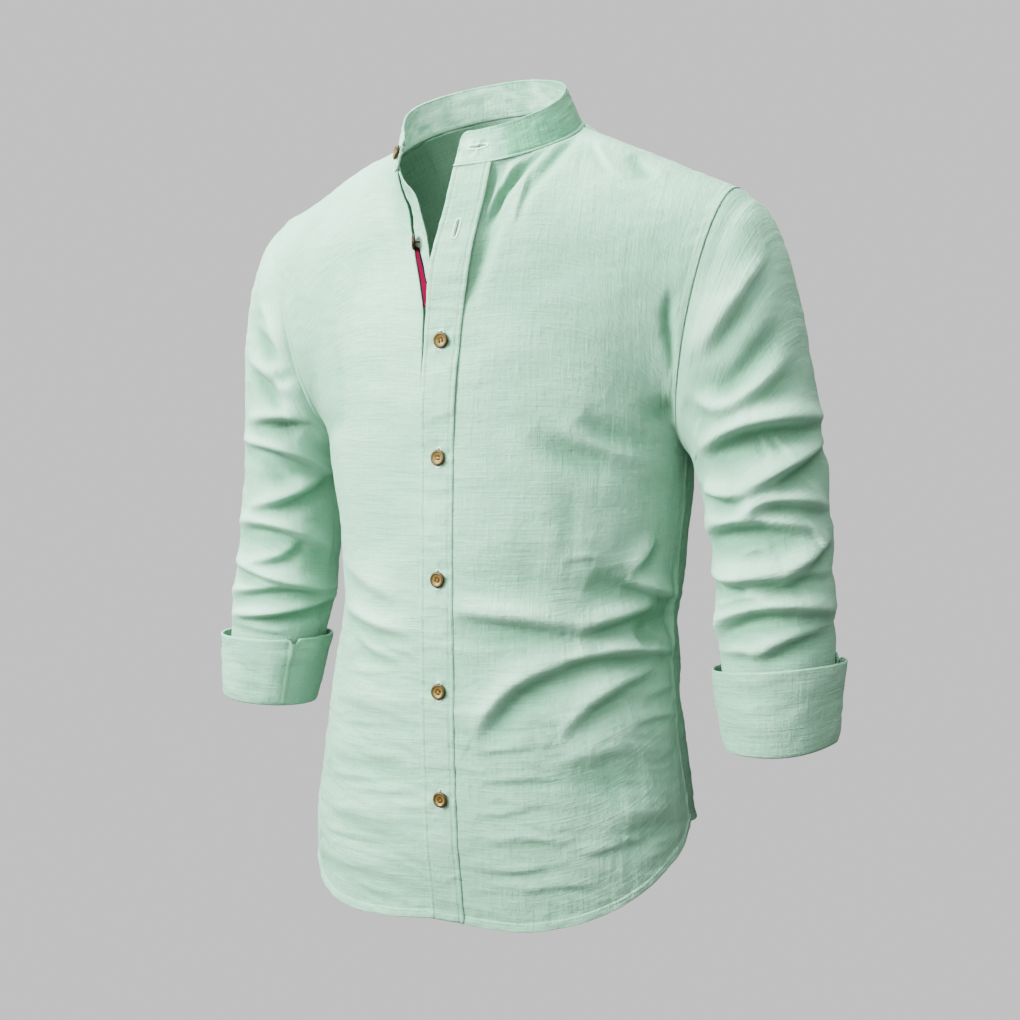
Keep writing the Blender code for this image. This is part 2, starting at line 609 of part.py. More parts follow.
def wall(name, grid, normals, thickness, material, lift=0.0, closed=False):
    """A cloth wall: the grid's own face outside, a parallel face inside, and its edges closed."""
    outer = grid + normals * lift
    inner = outer - normals * thickness
    rows, columns = outer.shape[:2]
    points = np.concatenate([outer.reshape(-1, 3), inner.reshape(-1, 3)])
    index = np.arange(2 * rows * columns).reshape(2, rows, columns)
    if closed:
        index = np.concatenate([index, index[:, :, :1]], 2)
        columns += 1
    faces = []
    for r in range(rows - 1):
        for c in range(columns - 1):
            for layer in (0, 1):
                faces.append([index[layer, r, c], index[layer, r, c + 1], index[layer, r + 1, c + 1],
                              index[layer, r + 1, c]])
    for c in range(columns - 1):
        for r in (0, rows - 1):
            faces.append([index[0, r, c], index[0, r, c + 1], index[1, r, c + 1], index[1, r, c]])
    if not closed:
        for r in range(rows - 1):
            for c in (0, columns - 1):
                faces.append([index[0, r, c], index[0, r + 1, c], index[1, r + 1, c], index[1, r, c]])
    mesh = bpy.data.meshes.new(name)
    mesh.from_pydata(points.tolist(), [], [[int(i) for i in face] for face in faces])
    shape = bmesh.new()
    shape.from_mesh(mesh)
    bmesh.ops.triangulate(shape, faces=shape.faces)
    bmesh.ops.recalc_face_normals(shape, faces=shape.faces)
    shape.to_mesh(mesh)
    shape.free()
    mesh.shade_smooth()
    return link(name, mesh, material)


def make_torso(material):
    """Back, left front and right front."""
    left, right = torso_half(1), torso_half(-1)
    wall("front_left", *left["front"], CLOTH, material)
    wall("front_right", *right["front"], CLOTH, material)
    grids = []
    for k in (0, 1):
        left_half, right_half = left["back"][k], right["back"][k][:, ::-1]
        middle = (left_half[:, :1] + right_half[:, -1:]) / 2
        if k == 1:
            middle /= np.linalg.norm(middle, axis=-1, keepdims=True)
        grids.append(np.concatenate([right_half[:, :-1], middle, left_half[:, 1:]], 1))
    wall("back", *grids, CLOTH, material)


def make_front_bands(cloth, tape):
    """The buttonhole placket, the button band below it, and the contrast tape on the band."""
    grid, normals = strip(PLACKET_FREE, PLACKET_SEAM, PLACKET_HEM, 4, BAND_ROWS, NECK_SEAM_DROP)
    wall("buttonhole_placket", grid, normals, CLOTH, cloth, lift=PLACKET_LIFT)

    grid, normals = strip(BAND_SEAM, BAND_FREE, BAND_HEM, 4, BAND_ROWS, NECK_SEAM_DROP)
    wall("button_band", grid, normals, CLOTH, cloth, lift=-BAND_DROP)

    shown = (grid[:, 0, 2] > TAPE_END) & (grid[:, 0, 2] < TAPE_TOP)
    grid, normals = grid[shown], normals[shown]
    across = grid[:, -1] - grid[:, 0]
    reach = np.linalg.norm(across, axis=-1, keepdims=True)
    start = grid[:, 0] + across / reach * SEAM_GAP
    end = grid[:, 0] + across / reach * TAPE_WIDTH
    share = np.linspace(0, 1, 3)[:, None]
    ribbon = start[:, None] * (1 - share) + end[:, None] * share
    wall("contrast_tape", ribbon, normals[:, :3], TAPE_THICKNESS, tape, lift=-TAPE_DROP)


def collar_grid():
    """The band collar: columns from its left end, behind the neck, to its right end."""
    ends = np.array(COLLAR_END_STEPS)
    steps = np.concatenate([ends, np.linspace(0.03, 0.97, COLLAR_COLUMNS - 7), 1 - ends[::-1]])
    angle = LEFT_END_ANGLE + (360.0 - RIGHT_END_ANGLE - LEFT_END_ANGLE) * steps
    signed = np.where(angle <= 180.0, angle, angle - 360.0)
    base = neck_point(signed)
    run = np.concatenate([[0], np.cumsum(np.linalg.norm(np.diff(base, axis=0), axis=1))])
    turn = np.radians(signed)
    inward = np.stack([-np.sin(turn), np.cos(turn), 0 * turn], -1)
    lean, rise = smooth(COLLAR_TOP, angle).T
    top = base + inward * lean[:, None]
    top[:, 2] += rise
    from_end = np.minimum(run, run[-1] - run)
    short = np.clip(1 - from_end / COLLAR_CORNER, 0, 1)
    height_share = 1 - COLLAR_CORNER_DROP * (1 - np.sqrt(1 - short**2))
    share = np.linspace(0, 1, COLLAR_ROWS + 1)[:, None]
    rows = base + (top - base) * (share * height_share)[..., None]
    rows[..., 2] += COLLAR_SEAM_LIFT
    return rows


def make_collar(material):
    """The band collar stands on the neck seam."""
    grid = collar_grid()
    normals = grid_normals(grid)
    centre = np.array([0.0, NECK_CENTRE_Y, 0.0])
    wall("collar_band", grid, facing(normals, grid, centre), COLLAR_THICKNESS, material)


def sleeve_grid(side):
    """Rings of a sleeve, from the armhole to the cuff."""
    station = np.linspace(0, SLEEVE[-1][0], SLEEVE_RINGS + 1)
    inner_x, inner_z, outer_x, outer_z, centre_y, half_depth = smooth(SLEEVE, station).T[..., None]
    if side == -1:
        sway = smooth(RIGHT_SLEEVE_SWAY, station)
        inner_x = inner_x + sway[:, :1]
        outer_x = outer_x + sway[:, 1:]
    turn = np.linspace(0, 2 * math.pi, SLEEVE_COLUMNS, endpoint=False)
    share = (1 - np.cos(turn)) / 2
    swing = np.sign(np.sin(turn)) * np.abs(np.sin(turn)) ** 0.9
    grid = np.stack([
        side * (inner_x + (outer_x - inner_x) * share),
        centre_y - half_depth * swing,
        inner_z + (outer_z - inner_z) * share,
    ], -1)
    first = armhole_point(side, turn)
    grid[0] = first
    across = (turn - math.pi) * SLEEVE_SCALE_ROUND
    return grid, np.broadcast_to(across, grid.shape[:2])


def make_sleeve(name, side, material):
    """A sleeve tube with its folds."""
    grid, across = sleeve_grid(side)
    middle = grid.mean(1, keepdims=True)
    normals = grid_normals(grid, closed=True)
    outward = (normals * (grid - middle)).sum()
    normals = normals if outward > 0 else -normals
    share = np.linspace(0, 1, grid.shape[0])
    calm = np.clip(share / SLEEVE_CALM[0], 0, 1) * np.clip((1 - share) / SLEEVE_CALM[1], 0, 1)
    push = fold_offset(SLEEVE_FOLDS[side], across, grid[..., 2]) * calm[:, None]
    grid = grid + normals * push[..., None]
    normals = grid_normals(grid, closed=True)
    normals = normals if (normals * (grid - middle)).sum() > 0 else -normals
    step = grid[1] - grid[0]
    grid[0] += step / np.linalg.norm(step, axis=-1, keepdims=True) * ARMHOLE_GAP
    wall(name, grid, normals, CLOTH, material, closed=True)


def make_cuff(name, side, material):
    """A turned-back cuff: down inside the sleeve end, round the fold and up outside."""
    height, half_width, half_depth, centre_x = np.array(CUFF).T[..., None]
    turn = np.linspace(0, 2 * math.pi, CUFF_COLUMNS, endpoint=False)
    size = CUFF_SIZE[side]
    turned = np.linspace(0, 1, len(CUFF))[:, None] ** 2
    raised = turned * (1 - np.cos(turn)) * 2 * half_width * CUFF_TILT[side]
    grid = np.stack([
        side * (centre_x - half_width * size * np.cos(turn) + CUFF_LEAN[side] * (CUFF[-1][0] - height)),
        CUFF_CENTRE_Y - half_depth * size * np.sin(turn),
        height + raised,
    ], -1)
    normals = grid_normals(grid, closed=True)
    last = normals[-1] * (grid[-1] - grid[-1].mean(0))
    normals = normals if last.sum() > 0 else -normals
    wall(name, grid, -normals, CUFF_THICKNESS, material, closed=True)


def button_mesh():
    """A flat round button with a raised rim, turned about its own axis."""
    profile = (
        (0.0, BUTTON_THICKNESS - BUTTON_WELL_DEPTH),
        (BUTTON_WELL_RADIUS, BUTTON_THICKNESS - BUTTON_WELL_DEPTH),
        (BUTTON_WELL_RADIUS + BUTTON_WELL_DEPTH, BUTTON_THICKNESS),
        (BUTTON_RADIUS - 0.0006, BUTTON_THICKNESS),
        (BUTTON_RADIUS, BUTTON_THICKNESS * 0.6),
        (BUTTON_RADIUS - 0.0010, 0.0),
        (0.0, 0.0),
    )
    mesh = bpy.data.meshes.new("button")
    edges = [(i, i + 1) for i in range(len(profile) - 1)]
    mesh.from_pydata([(x, 0.0, z) for x, z in profile], edges, [])
    return mesh


def make_button(name, mesh, point, outward, gap, material):
    """One button, its back a gap away from a point on the cloth."""
    piece = link(name, mesh, material)
    if len(mesh.materials) > 1:
        mesh.materials.pop()
    screw = piece.modifiers.new("turn", "SCREW")
    screw.axis = "Z"
    screw.steps = BUTTON_SEGMENTS
    screw.render_steps = BUTTON_SEGMENTS
    screw.use_merge_vertices = True
    screw.merge_threshold = 0.00001
    outward = Vector(outward).normalized()
    piece.location = Vector(point) + outward * gap
    piece.rotation_euler = outward.to_track_quat("Z", "Y").to_euler()


def make_buttons(material):
    """Five fastened front buttons, the second button on the band, and the collar button."""
    mesh = button_mesh()
    grid, normals = strip(PLACKET_FREE, PLACKET_SEAM, PLACKET_HEM, FRONT_BUTTON_COLUMNS, BUTTON_PLACE_ROWS)
    for number, (height, column) in enumerate(FRONT_BUTTONS, 1):
        row = int(np.argmin(np.abs(grid[:, column, 2] - height)))
        make_button(f"front_button_{number}", mesh, grid[row, column], normals[row, column],
                    PLACKET_LIFT + BUTTON_CLEARANCE, material)
    grid, normals = strip(BAND_SEAM, BAND_FREE, BAND_HEM, 10, BUTTON_PLACE_ROWS)
    row = int(np.argmin(np.abs(grid[:, 0, 2] - CHEST_BUTTON_HEIGHT)))
    column = int(round(CHEST_BUTTON_SHARE * 10))
    make_button("chest_button", mesh, grid[row, column], normals[row, column], CHEST_BUTTON_SHANK, material)
    point, outward = collar_place(COLLAR_BUTTON_INSET, COLLAR_BUTTON_RISE)
    make_button("collar_button", mesh, point, outward, BUTTON_CLEARANCE, material)


def collar_place(inset, share):
    """The point and outward direction on the collar, a distance from its right end."""
    grid = collar_grid()
    normals = facing(grid_normals(grid), grid, np.array([0.0, NECK_CENTRE_Y, 0.0]))
    row = int(round(share * COLLAR_ROWS))
    line = grid[row]
    run = np.concatenate([[0], np.cumsum(np.linalg.norm(np.diff(line, axis=0), axis=1))])
    at = run[-1] - inset
    point = np.array([np.interp(at, run, line[:, k]) for k in range(3)])
    outward = np.array([np.interp(at, run, normals[row][:, k]) for k in range(3)])
    return point, outward


def make_material(name):
    """A plain material with the part's colour."""
    material = bpy.data.materials.new(name)
    material.use_nodes = True
    shader = material.node_tree.nodes["Principled BSDF"]
    shader.inputs["Base Color"].default_value = COLOURS[name]
    shader.inputs["Roughness"].default_value = ROUGHNESS[name]
    shader.inputs["Metallic"].default_value = 0.0
    return material


def main():
    for old in list(bpy.data.objects):
        bpy.data.objects.remove(old)
    bpy.context.scene.collection.children.link(bpy.data.collections.new("band_collar_shirt"))
    cloth, tape, button = (make_material(name) for name in ("cloth", "tape", "button"))
    make_torso(cloth)
    make_front_bands(cloth, tape)
    make_collar(cloth)
    make_sleeve("sleeve_left", 1, cloth)
    make_sleeve("sleeve_right", -1, cloth)
    make_cuff("cuff_left", 1, cloth)
    make_cuff("cuff_right", -1, cloth)
    make_buttons(button)


main()
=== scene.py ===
"""Mint linen shirt with a band collar, long sleeves and turned-back cuffs, hung as if worn.

Metres, +Z up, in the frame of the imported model: the wearer faces -Y and the wearer's left is +X. Every cloth
piece is worked out from the same tables as its solid, on a much finer grid, with its folds, creases, seams,
hems and sewing. A place on the cloth is `across`, the distance round the shirt from the centre front
(positive towards the wearer's left), and height.
"""

import functools
import math

import bmesh
import bpy
import numpy as np
from mathutils import Matrix, Vector


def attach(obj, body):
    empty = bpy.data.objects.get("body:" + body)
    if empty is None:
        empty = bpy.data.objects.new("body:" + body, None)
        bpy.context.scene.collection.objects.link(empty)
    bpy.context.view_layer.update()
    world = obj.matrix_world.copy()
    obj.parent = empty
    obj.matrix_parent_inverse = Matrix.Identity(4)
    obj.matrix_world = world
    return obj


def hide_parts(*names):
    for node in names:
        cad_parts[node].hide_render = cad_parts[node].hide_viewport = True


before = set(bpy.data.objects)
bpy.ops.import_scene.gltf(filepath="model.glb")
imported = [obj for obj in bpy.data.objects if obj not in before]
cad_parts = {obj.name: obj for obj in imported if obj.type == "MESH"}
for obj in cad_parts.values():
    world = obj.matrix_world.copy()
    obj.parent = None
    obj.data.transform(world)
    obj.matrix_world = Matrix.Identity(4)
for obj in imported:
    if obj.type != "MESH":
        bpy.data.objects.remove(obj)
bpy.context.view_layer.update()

# Camera: the photograph's viewpoint
PHOTO_WIDTH = 1020
FOCAL_PIXELS = 1688.0
SENSOR = 36.0
AZIMUTH = 28.0
ELEVATION = 3.73
CAMERA_DISTANCE = 1.55
TARGET_SIDEWAYS = 0.0069
TARGET_HEIGHT = -0.3443

# Cloth and making
CLOTH = 0.0012
COLLAR_THICKNESS = 0.0022
CUFF_THICKNESS = 0.0018
TAPE_THICKNESS = 0.0009
SEAM_GAP = 0.0002
PLACKET_LIFT = 0.0011
BAND_DROP = 0.0026
TAPE_DROP = 0.0004
PLACKET_TUCK = 0.006
TAPE_WIDTH = 0.009
TAPE_TOP = -0.107
TAPE_END = -0.165
TAPE_COLUMNS = 13
TAPE_FACING_COLUMN = 13
TAPE_EDGE_RISE = 0.00018
TAPE_RAISED_EDGE = 0.36

# Sewing
HEM_DEPTH = 0.0070
HEM_RISE = 0.0011
# heights of the first rows above the edge of a hem
HEM_STEPS = (0.0, 0.0006, 0.0018, 0.0032, 0.0046, 0.0058, 0.0066, 0.0071, 0.0076, 0.0084, 0.0096)
SEAM_WIDTH = 0.0065
SEAM_RISE = 0.0007
# a felled seam: how far before and past its width it falls; its groove's inset, half width, share of the rise
SEAM_EDGE = (0.0006, 0.0009)
SEAM_GROOVE = (0.0012, 0.0008, 0.55)
SEAM_PUCKER_REACH = 0.9
# how near to a side seam the hem grows thinner, and by which share
HEM_AT_SEAM = (0.010, 0.5)
SHOULDER_SEAM_START = (0.004, 0.010)
BAND_HEM_SHARE = 0.8
SEWING_INSET = 0.0011
BAND_SEWING = 0.0045
COLLAR_SEWING = 0.0030
NECK_SEWING = 0.0032
CUFF_SEWING = (0.0040, 0.0500)
STITCH_PITCH = 0.0030
STITCH_LENGTH = 0.0023
STITCH_UNEVENNESS = 0.12
STITCH_SEED = 7
THREAD_RADIUS = 0.00027
THREAD_SINK = 0.6
DRAW_REACH = 0.012
BUTTONHOLE_LENGTH = 0.0175
BUTTONHOLE_WIDTH = 0.0058
BUTTONHOLE_OPENING = 0.0014
BUTTONHOLE_END = 0.0010
BUTTONHOLE_EDGE = 0.0004
BUTTONHOLE_SQUARENESS = (0.75, 0.45)
BUTTONHOLE_POINTS = 97
SLIT_POINTS = (25, 5)
SATIN = {"Pitch": 0.00048, "Thread_Length": 0.0016, "Thread_Radius": 0.00038, "Laid_Across": 1.0}
SLIT_RISE = 0.00012
SLIT_SINK = 0.0004

# Lines worked into a piece by its edges and sewing: distance from the edge, half width, height
BAND_LINES = ((0.0, 0.0009, -0.0007), (BAND_SEWING, 0.0008, -0.00045))
COLLAR_LINES = ((0.0, 0.0007, -0.0006), (COLLAR_SEWING, 0.0007, -0.0003))
NECK_LINES = ((0.0008, 0.0012, 0.0014), (NECK_SEWING, 0.0007, -0.0004))
CUFF_RIM_LINE = (0.0, 0.0008, -0.0006)
CUFF_LINES = ((CUFF_SEWING[0], 0.0008, -0.0004), (CUFF_SEWING[1], 0.0010, -0.0005))
CUFF_OVERLAP_LINE = (0.0055, 0.0008, -0.0006)
# gathers along a line of sewing: distance from the edge, reach, share of the full gathers
BAND_GATHERS = (BAND_SEWING, 0.005, 0.6)
NECK_GATHERS = (0.003, 0.006, 0.5)
CUFF_GATHERS = (0.005, 0.006, 0.7)

# Buttons
BUTTON_RADIUS = 0.0070
BUTTON_THICKNESS = 0.0028
BUTTON_CLEARANCE = 0.0008
BUTTON_SEGMENTS = 40
BUTTON_EDGE_ANGLE = 50.0
HOLE_RADIUS = 0.00085
HOLE_SPREAD = 0.00135
HOLE_SIDES = 14
STRAND_OFFSETS = (-0.00028, 0.0, 0.00028)
STRAND_RADIUS = 0.00021
# the strands over a button's dish: points, height, crown, drop into the holes
STRAND_POINTS = 11
STRAND_HEIGHT = 0.0016
STRAND_CROWN = 0.00045
STRAND_DROP = 0.0012
SHANK_STRANDS = 6
SHANK_RADIUS = 0.0006
SHANK_STRAND_RADIUS = 0.0003
TUBE_SIDES = 8
# how each button is turned about its own axis: the first, and the step to the next
BUTTON_TURN = (0.55, 1.3)
# the cloth round a fastened button: place, half width and height of its pulls and of its dip
BUTTON_PULL = (0.010, 0.005, 0.00035)
BUTTON_DIP = (0, 0.0075, -0.0006)
# pulls round a button, and how far they turn for each metre of its height
BUTTON_RAYS = (5, 40)
FRONT_BUTTONS = ((-0.1927, 6), (-0.2928, 7), (-0.3972, 7), (-0.4941, 7), (-0.5885, 7))
FRONT_BUTTON_COLUMNS = 12
CHEST_BUTTON_HEIGHT = -0.1045
CHEST_BUTTON_SHARE = 0.40
CHEST_BUTTON_SHANK = 0.0014
CHEST_BUTTON_LEAN = (-0.60, 0.10, -0.05)
COLLAR_BUTTON_INSET = 0.0115
COLLAR_BUTTON_RISE = 0.45
OPEN_BUTTONHOLE_HEIGHT = -0.0985
COLLAR_BUTTONHOLE_INSET = 0.0205
COLLAR_BUTTONHOLE_RISE = 0.50
BUTTON_PROFILE = (
    # radius, height above the back of the button
    (0.0, 0.0015),
    (0.0030, 0.0016),
    (0.0040, 0.0019),
    (0.0046, 0.0025),
    (0.0052, 0.0028),
    (0.0060, 0.0027),
    (0.0066, 0.0022),
    (0.0070, 0.0014),
    (0.0067, 0.0006),
    (0.0058, 0.0),
    (0.0, 0.0),
)

# Torso
ARMPIT_HEIGHT = -0.285
QUARTER_GIRTH = 0.24
NECK_SHARE = 0.40
LOWER_ROWS = 200
UPPER_ROWS = 130
PANEL_COLUMNS = 150
NECK_COLUMN = round(NECK_SHARE * PANEL_COLUMNS)
BACK_BEND = 2.6
TOP_BLEND = 7
SIDE_KEEP = 6
TOP_CALM = 0.12
OUTER_CALM = 0.08
TOP_SMOOTHING = 1560
SOFTEN_REACH = 0.28
TORSO = (
    # height, half_width, centre_x, side_y, front_y, back_y
    (-0.760, 0.1890, -0.0040, 0.000, -0.0940, 0.112),
    (-0.700, 0.1895, -0.0040, 0.000, -0.1020, 0.114),
    (-0.625, 0.1890, -0.0020, 0.000, -0.1130, 0.113),
    (-0.587, 0.1835, -0.0005, 0.000, -0.1160, 0.112),
    (-0.525, 0.1735, 0.0000, 0.003, -0.1190, 0.112),
    (-0.470, 0.1660, 0.0005, 0.008, -0.1200, 0.115),
    (-0.430, 0.1630, 0.0030, 0.011, -0.1205, 0.122),
    (-0.380, 0.1665, 0.0045, 0.012, -0.1205, 0.127),
    (-0.345, 0.1700, 0.0045, 0.012, -0.1200, 0.128),
    (-0.315, 0.1740, 0.0020, 0.012, -0.1195, 0.127),
    (ARMPIT_HEIGHT, 0.1780, 0.0000, 0.012, -0.1190, 0.126),
)
HEMS = {
    # share of the way from the centre to the side seam, height
    ("front", 1): (
        (0.0, -0.7015), (0.25, -0.7010), (0.47, -0.6870), (0.65, -0.6675), (0.8, -0.6470), (0.93, -0.6290),
        (1.0, -0.6120),
    ),
    ("front", -1): (
        (0.0, -0.7000), (0.2, -0.7070), (0.4, -0.7085), (0.6, -0.6990), (0.77, -0.6830), (0.9, -0.6620),
        (1.0, -0.6320),
    ),
    ("back", 1): (
        (0.0, -0.7220), (0.2, -0.7160), (0.4, -0.6880), (0.5, -0.6620), (0.6, -0.6360), (0.7, -0.6200),
        (0.85, -0.6140), (1.0, -0.6120),
    ),
    ("back", -1): (
        (0.0, -0.7220), (0.2, -0.7180), (0.4, -0.7000), (0.6, -0.6680), (0.8, -0.6430), (1.0, -0.6320),
    ),
}
PLACKET_HEM = -0.7000
BAND_HEM = -0.6970

# Front edges above the armpits, where the neck opens: height, x, y
PLACKET_SEAM = (
    (ARMPIT_HEIGHT, 0.0168, -0.1185),
    (-0.250, 0.0180, -0.1185),
    (-0.200, 0.0215, -0.1165),
    (-0.150, 0.0262, -0.1135),
    (-0.100, 0.0330, -0.1080),
    (-0.070, 0.0375, -0.1010),
    (-0.0414, 0.0379, -0.0895),
)
PLACKET_FREE = (
    (ARMPIT_HEIGHT, -0.0168, -0.1185),
    (-0.250, -0.0160, -0.1190),
    (-0.200, -0.0130, -0.1180),
    (-0.167, -0.0110, -0.1175),
    (-0.131, -0.0080, -0.1170),
    (-0.100, -0.0020, -0.1130),
    (-0.077, 0.0025, -0.1085),
    (-0.0449, 0.0051, -0.0979),
)
BAND_SEAM = (
    (ARMPIT_HEIGHT, -0.0158, -0.1185),
    (-0.200, -0.0155, -0.1170),
    (-0.167, -0.0165, -0.1135),
    (-0.1455, -0.0225, -0.1080),
    (-0.121, -0.0311, -0.1010),
    (-0.098, -0.0389, -0.0960),
    (-0.0755, -0.0463, -0.0900),
    (-0.060, -0.0555, -0.0860),
    (-0.0390, -0.0625, -0.0837),
)
BAND_FREE = (
    (ARMPIT_HEIGHT, 0.0100, -0.1185),
    (-0.200, 0.0100, -0.1185),
    (-0.167, 0.0065, -0.1155),
    (-0.1455, 0.0000, -0.1125),
    (-0.131, -0.0110, -0.1100),
    (-0.1045, -0.0190, -0.1080),
    (-0.082, -0.0283, -0.1060),
    (-0.070, -0.0328, -0.1040),
    (-0.0535, -0.0475, -0.1015),
    (-0.0463, -0.0513, -0.1010),
)

# Neck and collar: angles are measured round the neck from the centre front
NECK_CENTRE_Y = -0.020
NECK_HALF_WIDTH = 0.0835
NECK_FRONT = 0.078
NECK_BACK = 0.075
NECK_MIDDLE_HEIGHT = -0.012
NECK_TILT = 0.033
SIDE_NECK_ANGLE = 105.0
LEFT_END_ANGLE = 3.5
LEFT_SEAM_ANGLE = 27.0
RIGHT_END_ANGLE = 40.0
RIGHT_SEAM_ANGLE = 50.0
RIGHT_OPENING = (0.0024, -0.0212, -0.009)
RIGHT_OPENING_LIMIT = 1.2
COLLAR_TOP = (
    # angle from the centre front, round the left side; inward lean of the top edge, rise
    (0.0, 0.0155, 0.0325),
    (120.0, 0.0155, 0.0320),
    (160.0, 0.0155, 0.0305),
    (200.0, 0.0120, 0.0315),
    (235.0, 0.0030, 0.0345),
    (255.0, -0.0005, 0.0350),
    (275.0, 0.0010, 0.0345),
    (295.0, 0.0050, 0.0335),
    (320.0, 0.0085, 0.0325),
)
BAND_ROWS = 420
BAND_COLUMNS = 60
COLLAR_COLUMNS = 360
COLLAR_ROWS = 48
COLLAR_END_CROWDING = 0.42
COLLAR_CORNER = 0.0075
COLLAR_CORNER_DROP = 0.26
# painted shade over the left part of the collar's outside: how much darker, and where it fades in and out
# along the collar
COLLAR_PAINTED_SHADE = 0.95
COLLAR_PAINTED_SHADE_START = (0.030, 0.060)
COLLAR_PAINTED_SHADE_END = (0.150, 0.190)
# a painted shade line along the collar's top rim: how much darker, and its width
COLLAR_RIM_PAINTED_SHADE = 0.55
COLLAR_RIM = 0.0014
COLLAR_SWELLS = 0.8
COLLAR_CREASES = 1.1
COLLAR_CREASE_START = 0.3
# the pulls at the buttonhole: their height on the collar, number and turn, narrowing, and worked line
COLLAR_PULL_HEIGHT = 0.0165
COLLAR_RAYS = (4, 0.6)
COLLAR_PULL_NARROWING = 0.6
COLLAR_PULL = (0.005, 0.004, 0.0006)
COLLAR_MOTTLE = ((0.011, 0.006, 0.30, 61), (0.005, 0.003, 0.16, 62))
# painted light: the inside of the collar takes nearly twice the outside's value, which makes it paler
COLLAR_INSIDE_PAINTED_LIGHT = 1.9
NECK_SEAM_DROP = 0.0002

# Armholes and sleeves
ARMHOLE_BOTTOM = (0.178, 0.012, ARMPIT_HEIGHT)
ARMHOLE_TOP = {1: (0.226, 0.004, -0.0645), -1: (0.2245, 0.004, -0.0675)}
ARMHOLE_HALF_DEPTH = 0.064
ARMHOLE_ROUNDNESS = 0.9
ARMHOLE_GAP = 0.00006
SHOULDER_RISE = {1: -0.0008, -1: -0.0055}
SLEEVE_COLUMNS = 150
SLEEVE_RINGS = 230
SLEEVE = (
    # station, inner_x, inner_z, outer_x, outer_z, centre_y, half_depth
    (0.0, 0.1780, -0.285, 0.2250, -0.067, 0.008, 0.0640),
    (0.6, 0.1860, -0.292, 0.2430, -0.079, 0.008, 0.0635),
    (1.4, 0.1910, -0.301, 0.2580, -0.105, 0.008, 0.0625),
    (2.4, 0.1940, -0.312, 0.2695, -0.140, 0.008, 0.0610),
    (3.6, 0.1970, -0.326, 0.2800, -0.185, 0.009, 0.0590),
    (5.0, 0.2005, -0.344, 0.2905, -0.237, 0.010, 0.0565),
    (6.4, 0.2035, -0.366, 0.2990, -0.290, 0.011, 0.0535),
    (7.8, 0.2065, -0.393, 0.3050, -0.345, 0.012, 0.0520),
    (9.0, 0.2095, -0.422, 0.3085, -0.395, 0.012, 0.0510),
    (10.2, 0.2125, -0.452, 0.3105, -0.440, 0.011, 0.0495),
    (11.2, 0.2155, -0.4822, 0.3095, -0.4810, 0.010, 0.0440),
)
RIGHT_SLEEVE_SWAY = (
    # station, shift of the inner side, shift of the outer side
    (0.0, 0.0, 0.0),
    (2.4, -0.001, 0.0),
    (5.0, -0.007, -0.011),
    (7.8, -0.009, -0.015),
    (9.0, -0.008, -0.012),
    (10.2, -0.005, -0.008),
    (11.2, -0.001, -0.003),
)
SLEEVE_SCALE_ROUND = 0.052
# on the right sleeve, across runs on over the underarm seam as far as this place on the hidden side
SEEN_CUT = 0.0563
SLEEVE_CALM = (0.05, 0.075)
SLEEVE_HEAD = 0.45
SLEEVE_HEAD_LINE = 0.0035
SLEEVE_HEAD_DIP = 0.0002
SEAM_FADE = 0.012

# Cuffs: one row for each ring of the turned-back cloth, from inside, round the fold, to its top edge
CUFF_COLUMNS = 180
CUFF_ROWS = 64
CUFF = (
    # height, half_width, half_depth, centre_x
    (-0.4835, 0.0450, 0.0415, 0.2622),
    (-0.5100, 0.0440, 0.0410, 0.2637),
    (-0.5330, 0.0435, 0.0410, 0.2652),
    (-0.5410, 0.0455, 0.0430, 0.2655),
    (-0.5380, 0.0475, 0.0450, 0.2654),
    (-0.5100, 0.0510, 0.0485, 0.2637),
    (-0.4900, 0.0545, 0.0510, 0.2626),
    (-0.4745, 0.0565, 0.0530, 0.2620),
)
CUFF_LEAN = {1: 0.0, -1: 0.07}
CUFF_TILT = {1: 0.055, -1: 0.0}
CUFF_CENTRE_Y = 0.010
CUFF_SIZE = {1: 1.0, -1: 0.98}
CUFF_BOTTOM_RISE = {1: (0.008, 5), -1: (0.006, 1)}
CUFF_OPENING = {1: (825, 682), -1: (293, 650)}
CUFF_NOTCH_DEPTH = 0.008
CUFF_NOTCH_WIDTH = 0.0026
CUFF_CORNER_RISE = {1: 0.004, -1: 0.0}
CUFF_OVERLAP = 0.0013
CUFF_OVERLAP_START = (0.0, 0.0016)
CUFF_OVERLAP_END = (0.018, 0.036)
CUFF_OUTSIDE = (0.50, 0.62)
CUFF_OUTER_EDGE = (0.72, 1.0)

# Folds: a ridge has a positive depth, a trough a negative one
# across_1, height_1, across_2, height_2, bow, width, depth
TORSO_FOLDS = (
    # at the neck and the armholes
    (0.030, -0.034, 0.014, -0.165, 0.002, 0.010, -0.0035),
    (0.022, -0.040, 0.014, -0.080, 0.0, 0.007, -0.0025),
    (0.148, -0.034, 0.172, -0.060, 0.0, 0.010, -0.0030),
    (-0.200, -0.270, -0.110, -0.262, 0.0, 0.014, -0.0030),
    # back and right side
    (0.255, -0.440, 0.400, -0.462, 0.010, 0.014, -0.0060),
    (0.270, -0.478, 0.430, -0.455, -0.012, 0.013, 0.0050),
    (0.260, -0.505, 0.390, -0.540, 0.010, 0.014, -0.0045),
    (0.290, -0.200, 0.262, -0.275, 0.006, 0.013, -0.0040),
    (0.330, -0.270, 0.250, -0.300, 0.0, 0.014, -0.0035),
    (-0.430, -0.470, -0.260, -0.440, 0.010, 0.014, -0.0060),
    (-0.410, -0.500, -0.230, -0.485, 0.008, 0.013, 0.0050),
    (-0.380, -0.530, -0.190, -0.505, 0.006, 0.013, -0.0050),
    (-0.290, -0.200, -0.262, -0.275, -0.006, 0.013, -0.0040),
    (-0.340, -0.265, -0.250, -0.298, 0.0, 0.014, -0.0035),
)
